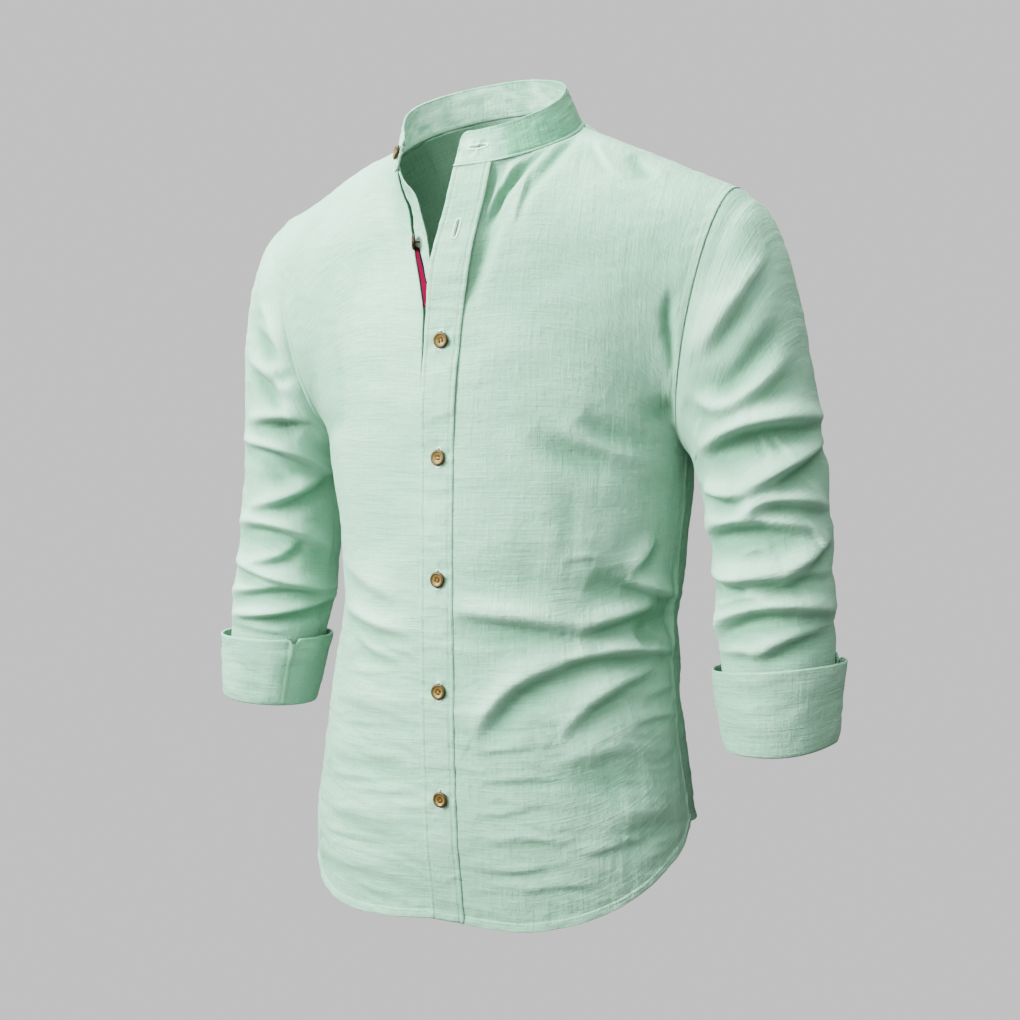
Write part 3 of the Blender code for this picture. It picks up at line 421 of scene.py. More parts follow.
SLEEVE_FOLDS = {
    # on the side away from the camera
    1: (
        (0.015, -0.200, 0.100, -0.240, 0.006, 0.011, -0.0050),
        (0.020, -0.275, 0.120, -0.300, 0.008, 0.010, -0.0060),
        (0.010, -0.300, 0.115, -0.322, 0.006, 0.010, 0.0050),
        (0.005, -0.335, 0.115, -0.352, 0.008, 0.010, -0.0060),
        (0.005, -0.385, 0.120, -0.400, 0.008, 0.010, -0.0060),
        (0.010, -0.432, 0.120, -0.425, 0.006, 0.009, -0.0050),
    ),
    -1: (
        (0.015, -0.205, 0.100, -0.240, 0.006, 0.011, -0.0050),
        (0.010, -0.265, 0.120, -0.295, 0.008, 0.010, -0.0060),
        (0.010, -0.295, 0.115, -0.318, 0.006, 0.010, 0.0050),
        (0.0, -0.345, 0.115, -0.350, 0.008, 0.010, -0.0060),
        (0.0, -0.392, 0.120, -0.396, 0.008, 0.010, -0.0060),
        (0.0, -0.430, 0.120, -0.428, 0.006, 0.009, -0.0050),
    ),
}

# Folds that the photograph shows, by the pixels they pass: x_1, y_1, x_2, y_2, x_3, y_3, width, depth.
# A positive depth is a ridge that hangs over a trough, a negative one a trough alone.
SEEN_FOLDS = {
    "left_front": (
        (545, 150, 507, 184, 486, 232, 0.0040, -0.0042), (496, 224, 481, 256, 472, 300, 0.0060, -0.0028),
        (522, 158, 499, 186, 484, 222, 0.0050, 0.0022), (496, 163, 489, 190, 482, 222, 0.0035, -0.0026),
        (580, 132, 548, 164, 520, 204, 0.0060, -0.0020), (583, 128, 560, 150, 545, 176, 0.008, -0.0018),
        (452, 610, 520, 617, 590, 628, 0.011, 0.0052), (575, 630, 622, 613, 662, 600, 0.010, 0.0060),
        (604, 648, 638, 648, 674, 650, 0.006, 0.0040), (636, 642, 654, 628, 676, 616, 0.010, -0.0080),
        (677, 560, 673, 606, 676, 656, 0.004, 0.0014), (472, 738, 512, 684, 592, 653, 0.011, 0.0052),
        (560, 660, 605, 652, 660, 654, 0.008, 0.0045), (558, 734, 600, 694, 660, 661, 0.010, 0.0042),
        (626, 579, 650, 586, 678, 597, 0.008, 0.0050), (588, 580, 612, 590, 648, 600, 0.013, -0.0042),
        (655, 536, 642, 556, 626, 574, 0.009, 0.0035), (580, 416, 612, 438, 662, 448, 0.011, -0.0045),
        (556, 424, 602, 447, 650, 459, 0.011, 0.0022), (528, 434, 566, 455, 612, 469, 0.011, -0.0030),
        (674, 292, 667, 330, 686, 380, 0.009, -0.0048), (690, 395, 672, 410, 640, 418, 0.010, -0.0030),
        (470, 700, 500, 690, 530, 688, 0.010, -0.0012), (560, 760, 600, 748, 640, 740, 0.014, 0.0016),
        (600, 830, 640, 812, 684, 800, 0.015, 0.0018), (560, 800, 610, 790, 650, 770, 0.016, -0.0016),
        (520, 520, 528, 560, 524, 600, 0.010, -0.0010), (560, 470, 570, 520, 566, 560, 0.009, -0.0012),
        # short, sharp creases
        (512, 160, 504, 190, 498, 214, 0.004, 0.0013), (530, 168, 520, 196, 512, 226, 0.004, 0.0010),
        (596, 142, 604, 158, 616, 170, 0.004, 0.0012), (640, 156, 652, 168, 668, 178, 0.004, 0.0010),
        (470, 752, 500, 750, 540, 744, 0.004, 0.0009), (478, 782, 520, 778, 566, 780, 0.005, 0.0010),
        (474, 812, 500, 814, 532, 808, 0.004, 0.0009), (484, 842, 530, 838, 572, 842, 0.005, 0.0010),
        (472, 868, 510, 872, 552, 866, 0.004, 0.0010), (520, 892, 556, 886, 600, 884, 0.005, 0.0010),
        (580, 856, 612, 846, 650, 836, 0.005, 0.0010), (640, 700, 658, 690, 676, 684, 0.005, 0.0012),
        (630, 726, 654, 716, 680, 712, 0.005, 0.0012), (562, 560, 584, 556, 604, 560, 0.004, 0.0008),
        (648, 620, 660, 632, 672, 640, 0.004, 0.0010),
    ),
    "right_front": (
        (346, 604, 372, 622, 412, 632, 0.010, 0.0045), (352, 628, 376, 648, 404, 656, 0.009, 0.0026),
        (345, 560, 372, 584, 398, 596, 0.011, 0.0020), (336, 690, 370, 700, 412, 706, 0.014, 0.0016),
        (330, 740, 366, 752, 408, 752, 0.014, 0.0014), (326, 800, 360, 812, 410, 820, 0.013, 0.0016),
        (320, 846, 356, 862, 404, 872, 0.012, 0.0014), (396, 176, 402, 220, 412, 262, 0.008, -0.0015),
        (330, 330, 340, 380, 342, 430, 0.010, -0.0016),
        # short, sharp creases
        (346, 668, 372, 672, 400, 670, 0.004, 0.0009), (336, 716, 360, 722, 392, 724, 0.004, 0.0010),
        (330, 770, 352, 776, 378, 778, 0.004, 0.0010), (326, 826, 352, 836, 384, 842, 0.004, 0.0010),
        (352, 786, 380, 792, 410, 790, 0.004, 0.0009), (350, 880, 376, 890, 412, 896, 0.005, 0.0010),
        (382, 640, 396, 648, 414, 652, 0.004, 0.0010),
    ),
    "sleeve_left": (
        (694, 356, 722, 316, 764, 252, 0.006, 0.0026), (712, 404, 750, 368, 782, 318, 0.007, -0.0034),
        (706, 412, 748, 392, 790, 352, 0.009, 0.0030), (690, 380, 716, 384, 742, 376, 0.008, -0.0014),
        (694, 396, 714, 408, 742, 408, 0.008, 0.0024), (697, 430, 710, 434, 724, 430, 0.007, -0.0020),
        (700, 451, 745, 423, 826, 417, 0.009, 0.0075), (740, 492, 786, 466, 828, 436, 0.009, 0.0058),
        (704, 486, 724, 494, 748, 492, 0.007, 0.0046), (742, 516, 776, 496, 830, 507, 0.008, 0.0052),
        (706, 533, 744, 518, 820, 527, 0.009, 0.0058), (784, 570, 808, 556, 830, 534, 0.009, 0.0044),
        (712, 571, 750, 578, 832, 566, 0.008, 0.0052), (720, 587, 736, 582, 750, 586, 0.006, 0.0030),
        (718, 604, 742, 594, 772, 598, 0.007, 0.0036), (716, 632, 752, 606, 836, 608, 0.009, 0.0062),
        (750, 660, 780, 640, 832, 622, 0.009, 0.0032), (712, 652, 736, 650, 760, 654, 0.007, 0.0018),
        # short, sharp creases
        (760, 432, 768, 446, 772, 462, 0.003, 0.0008), (776, 430, 784, 444, 788, 458, 0.003, 0.0008),
        (806, 520, 816, 536, 820, 552, 0.003, 0.0008), (800, 470, 812, 480, 820, 494, 0.003, 0.0008),
        (740, 556, 756, 548, 774, 552, 0.004, 0.0010), (770, 588, 790, 584, 812, 588, 0.004, 0.0012),
        (736, 640, 752, 634, 770, 636, 0.004, 0.0008),
    ),
    "sleeve_right": (
        (259, 300, 288, 338, 308, 357, 0.006, 0.0026), (256, 320, 288, 348, 311, 365, 0.006, 0.0030),
        (252, 362, 276, 378, 300, 408, 0.008, 0.0046), (268, 380, 290, 378, 312, 380, 0.007, -0.0034),
        (249, 421, 284, 416, 322, 422, 0.008, 0.0058), (243, 439, 284, 449, 334, 471, 0.008, 0.0058),
        (250, 505, 288, 496, 334, 468, 0.009, 0.0046), (236, 521, 280, 524, 332, 548, 0.009, 0.0062),
        (250, 560, 278, 556, 302, 540, 0.007, 0.0030), (234, 558, 272, 576, 328, 588, 0.008, 0.0056),
        (229, 592, 270, 586, 334, 588, 0.008, 0.0046), (233, 613, 276, 612, 338, 594, 0.008, 0.0056),
        (231, 619, 258, 628, 290, 631, 0.006, 0.0030), (262, 470, 280, 480, 300, 484, 0.010, -0.0026),
        # short, sharp creases
        (268, 398, 284, 404, 296, 416, 0.004, 0.0010), (258, 456, 274, 462, 292, 474, 0.004, 0.0010),
        (262, 540, 282, 544, 300, 552, 0.004, 0.0010), (250, 600, 272, 600, 296, 602, 0.004, 0.0010),
    ),
}
FAR_AWAY = 1e6
PATH_STEPS = 9
PATH_SMOOTHING = 3
TAPER_START = 0.015
TAPER_POWER = 0.8
RIDGE_ABOVE = 1.15
RIDGE_BELOW = 0.60
RIDGE_CREST = 1.7
TROUGH_PLACE = 1.0
TROUGH_ABOVE = 0.60
TROUGH_BELOW = 1.15
TROUGH_SHARE = 0.85
# how much wider and deeper than its row a fold of a piece is made
FOLD_GAIN = {
    "left_front": (1.05, 1.4),
    "right_front": (1.0, 1.1),
    "sleeve_left": (1.22, 2.05),
    "sleeve_right": (1.05, 1.65),
}

# Small unevenness of the cloth: grain across, grain up, height, seed
SWELLS = ((0.060, 0.040, 0.0010, 11), (0.028, 0.020, 0.0005, 12))
WEFT_CREASES = ((0.030, 0.0065, 0.00030, 21), (0.016, 0.0042, 0.00020, 22))
WARP_CREASES = ((0.0070, 0.028, 0.00018, 31), (0.0046, 0.014, 0.00012, 32))
WANDER = (0.018, 0.022, 0.0045)
WANDER_SEEDS = (51, 52, 53)
SECOND_WANDER = 0.25
PUCKER_GRAIN = 0.0075
PUCKER_SIZE = 0.00055
PUCKER_SEED = 41
NOISE_CELLS = 256
# where the panels crease more: heights of the lower part, then places and heights of the left front
LOWER_CREASES = (-0.52, -0.36)
LEFT_CREASES = (0.05, 0.10)
LEFT_CREASES_TOP = (-0.26, -0.20)
# strength of the weft and warp creases: throughout, and added where they grow
PANEL_WEFT = (0.8, 0.9)
PANEL_WARP = (0.7, 0.8)
BAND_CREASES = (1.3, 0.5)
SLEEVE_CREASES = (1.2, 0.8)
CUFF_CREASES = (1.5, 0.9)
# how far the creases of the two sides are moved apart, so that they differ
SLEEVE_CREASE_SHIFT = 0.4
CUFF_CREASE_SHIFT = 0.15
# heights below the collar where the folds and creases of the front bands begin
BAND_FOLDS_BELOW = (0.17, 0.24)
BAND_CREASES_BELOW = (0.04, 0.07)
# how far a fold pushes the cloth out or in to reach full wear on a ridge and full painted shade in a trough
WEAR_AND_SHADE_DEPTH = 0.008
# the share of that value the inside faces take, which paints them darker as painted shade
INSIDE_PAINTED_SHADE = 0.6

# Finishes
# the linen runs from deep to pale through random tone, wear on the ridges and painted shade in the troughs
LINEN_DEEP = (0.170, 0.330, 0.222, 1.0)
LINEN_PALE = (0.475, 0.665, 0.548, 1.0)
LINEN_THREAD = ((0.32, 0.46, 0.38, 1.0), (0.50, 0.64, 0.56, 1.0))
SATIN_THREAD = ((0.48, 0.62, 0.54, 1.0), (0.70, 0.80, 0.74, 1.0))
OPENING_SHADOW = ((0.020, 0.045, 0.028, 1.0), (0.045, 0.085, 0.055, 1.0))
BUTTON_THREAD = ((0.10, 0.035, 0.015, 1.0), (0.24, 0.10, 0.05, 1.0))
WOOD = ((0.050, 0.030, 0.007, 1.0), (0.330, 0.215, 0.065, 1.0))
# a darker copy of the wood, painted shade for the chest button where the band shades it
WOOD_PAINTED_SHADE = ((0.022, 0.010, 0.008, 1.0), (0.085, 0.030, 0.026, 1.0))
WOOD_RIM = (0.026, 0.015, 0.005, 1.0)
TAPE_GROUND = ((0.17, 0.007, 0.022, 1.0), (0.27, 0.016, 0.048, 1.0))
TAPE_EDGE = ((0.006, 0.008, 0.020, 1.0), (0.018, 0.022, 0.045, 1.0))
TAPE_EDGE_PLACE = 0.33
# grains of noise for each metre across and up: slubs, thick threads, crepe and patches
SLUBS = (38.0, 780.0)
THICK_THREADS = (26.0, 330.0)
CREPE = (260.0, 210.0, 3.0, 0.6)
PATCHES = (9.0, 13.0, 3.0, 0.55)
THREADS_PER_METRE = 2 * math.pi / 0.0011
TWILL_PER_METRE = 2 * math.pi / 0.0008

# Studio: each light's name, direction from the shirt (right, up, towards the camera), size, power, colour
BACKDROP_COLOUR = (0.52, 0.52, 0.52)
SWEEP_RADIUS = 5.0
SWEEP_BEND = 2.0
SWEEP_HEIGHT = 5.0
SWEEP_CENTRE = 0.02
SWEEP_STEPS = 17
SWEEP_SEGMENTS = 96
FLOOR_HEIGHT = -1.45
LIGHT_CENTRE_HEIGHT = -0.30
LIGHT_DISTANCE = 2.4
LIGHTS = (
    ("key", (-0.84, 0.35, 0.45), 1.3, 97.0, (1.0, 0.98, 0.98)),
    ("top", (-0.25, 0.95, 0.05), 1.6, 72.0, (1.0, 0.99, 0.98)),
    ("fill", (0.50, 0.72, 0.48), 2.0, 24.0, (0.97, 1.0, 0.98)),
    ("front", (-0.35, 0.20, 0.91), 1.6, 24.0, (1.0, 1.0, 0.99)),
    ("back", (-0.15, 0.40, -0.90), 1.8, 36.0, (1.0, 1.0, 1.0)),
)
# soft lamps inside the shirt: place, size, power
INSIDE_LIGHTS = (((0.0, 0.0, -0.16), 0.05, 0.12), ((-0.018, -0.050, 0.004), 0.03, 0.035))
SURROUND_COLOUR = (0.94, 1.0, 0.96)
SURROUND_STRENGTH = 0.18
VIEW_TRANSFORM = "Filmic"
VIEW_LOOK = "High Contrast"
EXPOSURE = 0.0


def smooth(rows, at):
    """Read a table, keyed by its first column, on a smooth curve through its rows."""
    table = np.array(rows, float)
    key, values = table[:, 0], table[:, 1:]
    slope = np.gradient(values, key, axis=0)
    at = np.clip(np.asarray(at, float), key[0], key[-1])
    i = np.clip(np.searchsorted(key, at, side="right") - 1, 0, len(key) - 2)
    span = (key[i + 1] - key[i])[..., None]
    t = (at - key[i])[..., None] / span
    start = (2 * t**3 - 3 * t**2 + 1) * values[i] + (t**3 - 2 * t**2 + t) * span * slope[i]
    end = (3 * t**2 - 2 * t**3) * values[i + 1] + (t**3 - t**2) * span * slope[i + 1]
    return start + end


def ease(value, low, high):
    """0 below low, 1 above high, and a smooth step between them."""
    t = np.clip((np.asarray(value, float) - low) / (high - low), 0, 1)
    return t * t * (3 - 2 * t)


def hump(at, place, width):
    """1 at a place, falling smoothly to almost nothing two widths away."""
    return np.exp(-(((at - place) / width) ** 2))


def worked(at, *lines):
    """The relief of lines worked into the cloth, each by its place, half width and height."""
    return sum(height * hump(at, place, width) for place, width, height in lines)


def torso_point(angle, height):
    """The torso at an angle in degrees from the centre front, positive to the wearer's left."""
    half_width, centre_x, side_y, front_y, back_y = np.moveaxis(smooth(TORSO, height), -1, 0)
    turn = np.radians(angle)
    reach = np.where(np.cos(turn) > 0, side_y - front_y, back_y - side_y)
    return np.stack([centre_x + half_width * np.sin(turn), side_y - reach * np.cos(turn), height], -1)


def torso_at_x(x, height):
    """The front of the torso at a given x."""
    half_width, centre_x = np.moveaxis(smooth(TORSO, height), -1, 0)[:2]
    return torso_point(np.degrees(np.arcsin((x - centre_x) / half_width)), height)


def edge_line(edge, heights):
    """A front edge at the given heights: down the torso, and by its table above the armpits."""
    heights = np.asarray(heights, float)
    table = smooth(edge, heights)
    below = torso_at_x(np.full(heights.shape, edge[0][1]), np.minimum(heights, ARMPIT_HEIGHT))
    above = np.stack([table[..., 0], table[..., 1], heights], -1)
    line = np.where((heights <= ARMPIT_HEIGHT)[..., None], below, above)
    line[..., 2] = heights
    return line


def neck_opening(angle):
    """How far the open right side of the neck has swung out, from 0 at its side to 1 at its end."""
    share = (90.0 + np.asarray(angle, float)) / (90.0 - RIGHT_END_ANGLE)
    return np.where(angle < 0, np.clip(share, 0.0, RIGHT_OPENING_LIMIT), 0.0) ** 2


def neck_point(angle):
    """The collar seam at an angle in degrees from the centre front, positive to the wearer's left."""
    turn = np.radians(np.asarray(angle, float))
    reach = np.where(np.cos(turn) > 0, NECK_FRONT, NECK_BACK)
    point = np.stack([
        NECK_HALF_WIDTH * np.sin(turn),
        NECK_CENTRE_Y - reach * np.cos(turn),
        NECK_MIDDLE_HEIGHT - NECK_TILT * np.cos(turn),
    ], -1)
    return point + np.multiply.outer(neck_opening(angle), RIGHT_OPENING)


def oval_swing(turn):
    """How far forward a slightly squared oval reaches at a turn, from -1 to 1."""
    return np.sign(np.sin(turn)) * np.abs(np.sin(turn)) ** ARMHOLE_ROUNDNESS


def armhole_point(side, turn):
    """The armhole seam: turn is 0 at the armpit, pi at the shoulder, and less than pi in front."""
    share = (1.0 - np.cos(turn)) / 2.0
    bottom, top = np.array(ARMHOLE_BOTTOM), np.array(ARMHOLE_TOP[side])
    point = bottom + (top - bottom) * share[..., None]
    point[..., 1] -= ARMHOLE_HALF_DEPTH * oval_swing(turn)
    point[..., 0] *= side
    return point


def along_path(path, across, height):
    """How far places lie from a path, their side of it (1 is below), and the strength of a fold there."""
    if path[-1][0] < path[0][0]:
        path = path[::-1]
    nearest = np.full(np.broadcast(across, height).shape, np.inf)
    share, side = np.zeros(nearest.shape), np.zeros(nearest.shape)
    legs = len(path) - 1
    for k in range(legs):
        leg = path[k + 1] - path[k]
        to_across, to_height = across - path[k][0], height - path[k][1]
        t = np.clip((to_across * leg[0] + to_height * leg[1]) / (leg @ leg), 0, 1)
        away = np.hypot(to_across - t * leg[0], to_height - t * leg[1])
        closer = away < nearest
        share = np.where(closer, (k + t) / legs, share)
        side = np.where(closer, np.sign(leg[1] * to_across - leg[0] * to_height), side)
        nearest = np.minimum(nearest, away)
    strength = np.sin(math.pi * (TAPER_START + (1 - 2 * TAPER_START) * share)) ** TAPER_POWER
    return nearest, side, strength


def plain_fold(path, width, depth, across, height):
    """How far an even ridge or trough along a path moves the cloth out."""
    nearest, _, strength = along_path(path, across, height)
    return depth * strength * hump(nearest, 0, width)


def hanging_fold(path, width, depth, across, height):
    """How far a ridge along a path that hangs over a trough moves the cloth out."""
    nearest, side, strength = along_path(path, across, height)
    below = nearest * side / width
    ridge = np.exp(-(np.abs(below / np.where(below < 0, RIDGE_ABOVE, RIDGE_BELOW)) ** RIDGE_CREST))
    past = below - TROUGH_PLACE
    trough = TROUGH_SHARE * hump(past, 0, np.where(past < 0, TROUGH_ABOVE, TROUGH_BELOW))
    return depth * strength * (ridge - trough)


def curve_through(start, middle, end):
    """Places along a smooth curve from start to end that passes the middle."""
    at = np.linspace(0, 1, PATH_STEPS)[:, None]
    pull = 2 * middle - (start + end) / 2
    return (1 - at) ** 2 * start + 2 * at * (1 - at) * pull + at**2 * end


def fold_offset(folds, across, height):
    """How far the folds of a table move the cloth out at places given by across and height."""
    offset = np.zeros(np.broadcast(across, height).shape)
    for across_1, height_1, across_2, height_2, bow, width, depth in folds:
        start, end = np.array([across_1, height_1]), np.array([across_2, height_2])
        run = end - start
        middle = (start + end) / 2 + bow * np.array([-run[1], run[0]]) / np.hypot(*run)
        offset += plain_fold(curve_through(start, middle, end), width, depth, across, height)
    return offset


def in_picture(points):
    """Where the camera sees each point, in pixels of the photograph."""
    right, up, back = (np.array(axis) for axis in camera_axes())
    from_camera = points - np.array(camera_place())
    depth = -(from_camera @ back)
    half = PHOTO_WIDTH / 2
    across, down = (FOCAL_PIXELS * (from_camera @ way) / depth for way in (right, up))
    return half + across, half - down


def seen_place(grid, normals, across, seen_x, seen_y):
    """The across and height of the place on a piece that the camera sees at a pixel of the photograph."""
    x, y = in_picture(grid)
    towards_camera = (normals * (np.array(camera_place()) - grid)).sum(-1)
    nearest = np.argmin(np.hypot(x - seen_x, y - seen_y) + FAR_AWAY * (towards_camera <= 0))
    return np.array([across.flat[nearest], grid[..., 2].flat[nearest]])


def seen_paths(name, grid, normals, across):
    """The paths on a piece, in across and height, of the folds that the photograph shows on it."""
    paths = []
    wider, deeper = FOLD_GAIN[name]
    for *pixels, width, depth in SEEN_FOLDS[name]:
        passed = curve_through(*np.array(pixels, float).reshape(3, 2))
        places = [seen_place(grid, normals, across, x, y) for x, y in passed]
        places = [place for place, last in zip(places, [None] + places) if not np.array_equal(place, last)]
        places = np.array(places)
        for _ in range(PATH_SMOOTHING):
            places[1:-1] = (places[:-2] + 2 * places[1:-1] + places[2:]) / 4
        paths.append((places, width * wider, depth * deeper))
    return paths


def path_offset(paths, across, height):
    """How far the folds along paths move the cloth out."""
    return sum((hanging_fold if fold[2] > 0 else plain_fold)(*fold, across, height) for fold in paths)


@functools.lru_cache
def front_paths():
    """The paths of the folds that the photograph shows on the two fronts."""
    paths = []
    for side, name in ((1, "left_front"), (-1, "right_front")):
        grid, across = half_panel(side, "front")
        paths += seen_paths(name, grid, panel_normals(grid), across)
    return paths


def cloud(across, height, grain_across, grain_up, size, seed):
    """Smooth seeded unevenness of about plus and minus size, in grains of the given width and height."""
    cells = np.random.default_rng(seed).uniform(-1, 1, (NOISE_CELLS, NOISE_CELLS))
    u = np.asarray(across) / grain_across + NOISE_CELLS / 2
    v = np.asarray(height) / grain_up + NOISE_CELLS
    column, row = np.floor(u).astype(int), np.floor(v).astype(int)
    s, t = ease(u - column, 0, 1), ease(v - row, 0, 1)
    column, row = column % NOISE_CELLS, row % NOISE_CELLS
    next_column, next_row = (column + 1) % NOISE_CELLS, (row + 1) % NOISE_CELLS
    low = cells[row, column] * (1 - s) + cells[row, next_column] * s
    high = cells[next_row, column] * (1 - s) + cells[next_row, next_column] * s
    return size * (low * (1 - t) + high * t)


def clouds(layers, across, height):
    """Several layers of unevenness together."""
    return sum(cloud(across, height, *layer) for layer in layers)


def creased(across, height, weft, warp):
    """The small creases that worn linen keeps, running with its threads."""
    push = clouds(SWELLS, across, height)
    first, second, third = WANDER_SEEDS
    wander = cloud(across, height, *WANDER, first)
    across = across + wander + SECOND_WANDER * cloud(across, height, *WANDER, second)
    height = height + cloud(across, height, *WANDER, third)
    push = push + weft * clouds(WEFT_CREASES, across, height)
    return push + warp * clouds(WARP_CREASES, across, height)


def pucker(along, share=1.0, seed_step=0):
    """The small gathers along a line of sewing."""
    return cloud(along, 0 * along, PUCKER_GRAIN, 1.0, share * PUCKER_SIZE, PUCKER_SEED + seed_step)


def gathered(away, along, line, seed_step):
    """The gathers beside a line of sewing."""
    place, reach, share = line
    return hump(away, place, reach) * pucker(along, share, seed_step)


def grid_normals(grid, closed=False):
    """Unit normals of a grid of points."""
    if closed:
        wide = np.concatenate([grid[:, -1:], grid, grid[:, :1]], 1)
        along = np.gradient(wide, axis=1)[:, 1:-1]
    else:
        along = np.gradient(grid, axis=1)
    up = np.gradient(grid, axis=0)
    normal = np.cross(along, up)
    return normal / np.maximum(np.linalg.norm(normal, axis=-1, keepdims=True), 1e-12)


def panel_normals(grid, centre=(0.0, 0.0, 0.0)):
    """Unit normals of a panel that point away from the upright line through a centre."""
    normals = grid_normals(grid)
    outward = grid - np.array(centre)
    outward[..., 2] = 0
    return normals if (normals * outward).sum() > 0 else -normals


def tube_normals(grid, rows=slice(None)):
    """Unit normals of a closed tube that point away from the middle of the given rows."""
    normals = grid_normals(grid, closed=True)
    outward = grid - grid.mean(1, keepdims=True)
    return normals if (normals * outward)[rows].sum() > 0 else -normals


def distance_along(lines):
    """How far each point of each line lies from the line's first point."""
    steps = np.linalg.norm(np.diff(lines, axis=1), axis=-1)
    return np.concatenate([np.zeros((len(lines), 1)), np.cumsum(steps, axis=1)], 1)


def draw_back(lines, gap):
    """Shorten each line of points at its end by a gap, taken up over its last stretch."""
    run = distance_along(lines)
    left = run[:, -1:] - run
    wanted = run - gap * np.clip(1 - left / DRAW_REACH, 0, 1)
    drawn = lines.copy()
    for k in range(len(lines)):
        for axis in range(3):
            drawn[k, :, axis] = np.interp(wanted[k], run[k], lines[k, :, axis])
    return drawn


def draw_down(grid, gap):
    """Shorten the columns of a grid at its last row by a gap."""
    return flip(draw_back(flip(grid), gap))


def climb_along(grid):
    """How far each point of each column lies from the column's first point."""
    return flip(distance_along(flip(grid)))


def flip(grid):
    """Rows become columns."""
    return np.swapaxes(grid, 0, 1)


def panel_shares():
    """Shares of the way from the centre to the side, with one column exactly at the side of the neck."""
    shares = np.linspace(0, 1, PANEL_COLUMNS + 1)
    shares[: NECK_COLUMN + 1] = np.linspace(0, NECK_SHARE, NECK_COLUMN + 1)
    shares[NECK_COLUMN:] = np.linspace(NECK_SHARE, 1, PANEL_COLUMNS + 1 - NECK_COLUMN)
    return shares


def hem_rows(hem, length):
    """Heights above the hem for each row: close together over the hem, then evenly up to the armpits."""
    slant = np.hypot(1, np.gradient(hem, length / PANEL_COLUMNS))
    steps = np.array(HEM_STEPS)[:, None] * slant
    rest = np.linspace(0, 1, LOWER_ROWS + 2 - len(HEM_STEPS))[1:, None]
    return np.concatenate([hem + steps, hem + steps[-1] + (ARMPIT_HEIGHT - hem - steps[-1]) * rest])


def half_panel(side, face):
    """One half of the front or back: a grid of points and the across value of each."""
    shares = panel_shares()
    hem = smooth(HEMS[face, side], shares)[:, 0]
    edge = {("front", 1): PLACKET_SEAM, ("front", -1): BAND_SEAM}.get((face, side))
    hidden = PLACKET_TUCK if edge is PLACKET_SEAM else 0.0
    height = hem_rows(hem, QUARTER_GIRTH)
    if edge is None:
        angle = 180.0 - 90.0 * shares + 0 * height
    else:
        first_x = (edge[0][1] - hidden) * side
        half_width, centre_x = np.moveaxis(smooth(TORSO, height), -1, 0)[:2]
        first = np.degrees(np.arcsin((first_x - side * centre_x) / half_width))
        angle = first + (90.0 - first) * shares
    lower = torso_point(side * angle, height)

    h = np.linspace(0, 1, UPPER_ROWS + 1)[1:, None]
    reach, climb = 1 - np.cos(math.pi / 2 * h), np.sin(math.pi / 2 * h)
    shape = np.stack([reach, reach, climb], -1)
    bottom = lower[-1]
    top = top_line(side, face, shares)
    outer = armhole_point(side, math.pi * h[:, 0] if face == "front" else 2 * math.pi - math.pi * h[:, 0])
    if edge is None:
        back_rise = climb[:, 0]
        inner = bottom[0] + (top[0] - bottom[0]) * shape[:, 0]
        inner[:, 1] = bottom[0, 1] + (top[0, 1] - bottom[0, 1]) * back_rise**BACK_BEND
    else:
        inner_height = ARMPIT_HEIGHT + (top[0, 2] - ARMPIT_HEIGHT) * climb[:, 0]
        inner = edge_line(edge, inner_height)
        inner[:, 0] -= side * hidden
    inner += (top[0] - inner[-1]) * h**3
    soft = top.copy()
    for _ in range(TOP_SMOOTHING):
        soft[1:-1] = (soft[:-2] + 2 * soft[1:-1] + soft[2:]) / 4
    plain = bottom + (soft - bottom) * shape + (top - soft) * h[..., None] ** TOP_BLEND
    weight = shares[:, None]
    outer_weight = shares ** (1 + 3 * (1 - h) ** 3)
    upper = plain + (1 - weight) * (inner - plain[:, 0])[:, None]
    upper += outer_weight[..., None] * (outer - plain[:, -1])[:, None]
    grid = soften(np.concatenate([lower, upper]), shares)
    if face == "front":
        start = abs(edge[0][1]) - hidden
        across = side * (start + (QUARTER_GIRTH - start) * shares)
    else:
        across = side * (2 * QUARTER_GIRTH - QUARTER_GIRTH * shares)
    return grid, np.broadcast_to(across, grid.shape[:2])


def soften(grid, shares):
    """Round off the change of slope at the height of the armpits, all but at the two side edges."""
    reach = int(round(UPPER_ROWS * SOFTEN_REACH))
    keep = 1 - shares[:, None] ** SIDE_KEEP
    fade = 1 - np.abs(np.linspace(-1, 1, 2 * reach + 1))[1:-1, None, None]
    rows = grid[LOWER_ROWS - reach: LOWER_ROWS + reach + 1]
    for _ in range(reach * reach // 2):
        rows[1:-1] += ((rows[:-2] + rows[2:]) / 2 - rows[1:-1]) * fade * keep
    return grid


def top_line(side, face, shares):
    """The top edge of a half panel: along the collar seam to the side neck, then along the shoulder."""
    if face == "back":
        start_angle = 180.0
    else:
        start_angle = LEFT_SEAM_ANGLE if side == 1 else RIGHT_SEAM_ANGLE
    neck_share = np.clip(shares / NECK_SHARE, 0, 1)
    neck = neck_point(side * (start_angle + (SIDE_NECK_ANGLE - start_angle) * neck_share))
    shoulder_share = np.clip((shares - NECK_SHARE) / (1 - NECK_SHARE), 0, 1)[:, None]
    tip = np.array(ARMHOLE_TOP[side]) * (side, 1, 1)
    line = neck + (tip - neck) * shoulder_share
    line[:, 2] += SHOULDER_RISE[side] * np.sin(math.pi * shoulder_share[:, 0]) * shoulder_share[:, 0]
    return line


def share_normals(front, back):
    """Give the front and back the same normals along their side and shoulder seams."""
    for place in ((slice(0, LOWER_ROWS + 1), -1), (-1, slice(NECK_COLUMN, None))):
        shared = front[place] + back[place]
        shared /= np.linalg.norm(shared, axis=-1, keepdims=True)
        front[place] = back[place] = shared


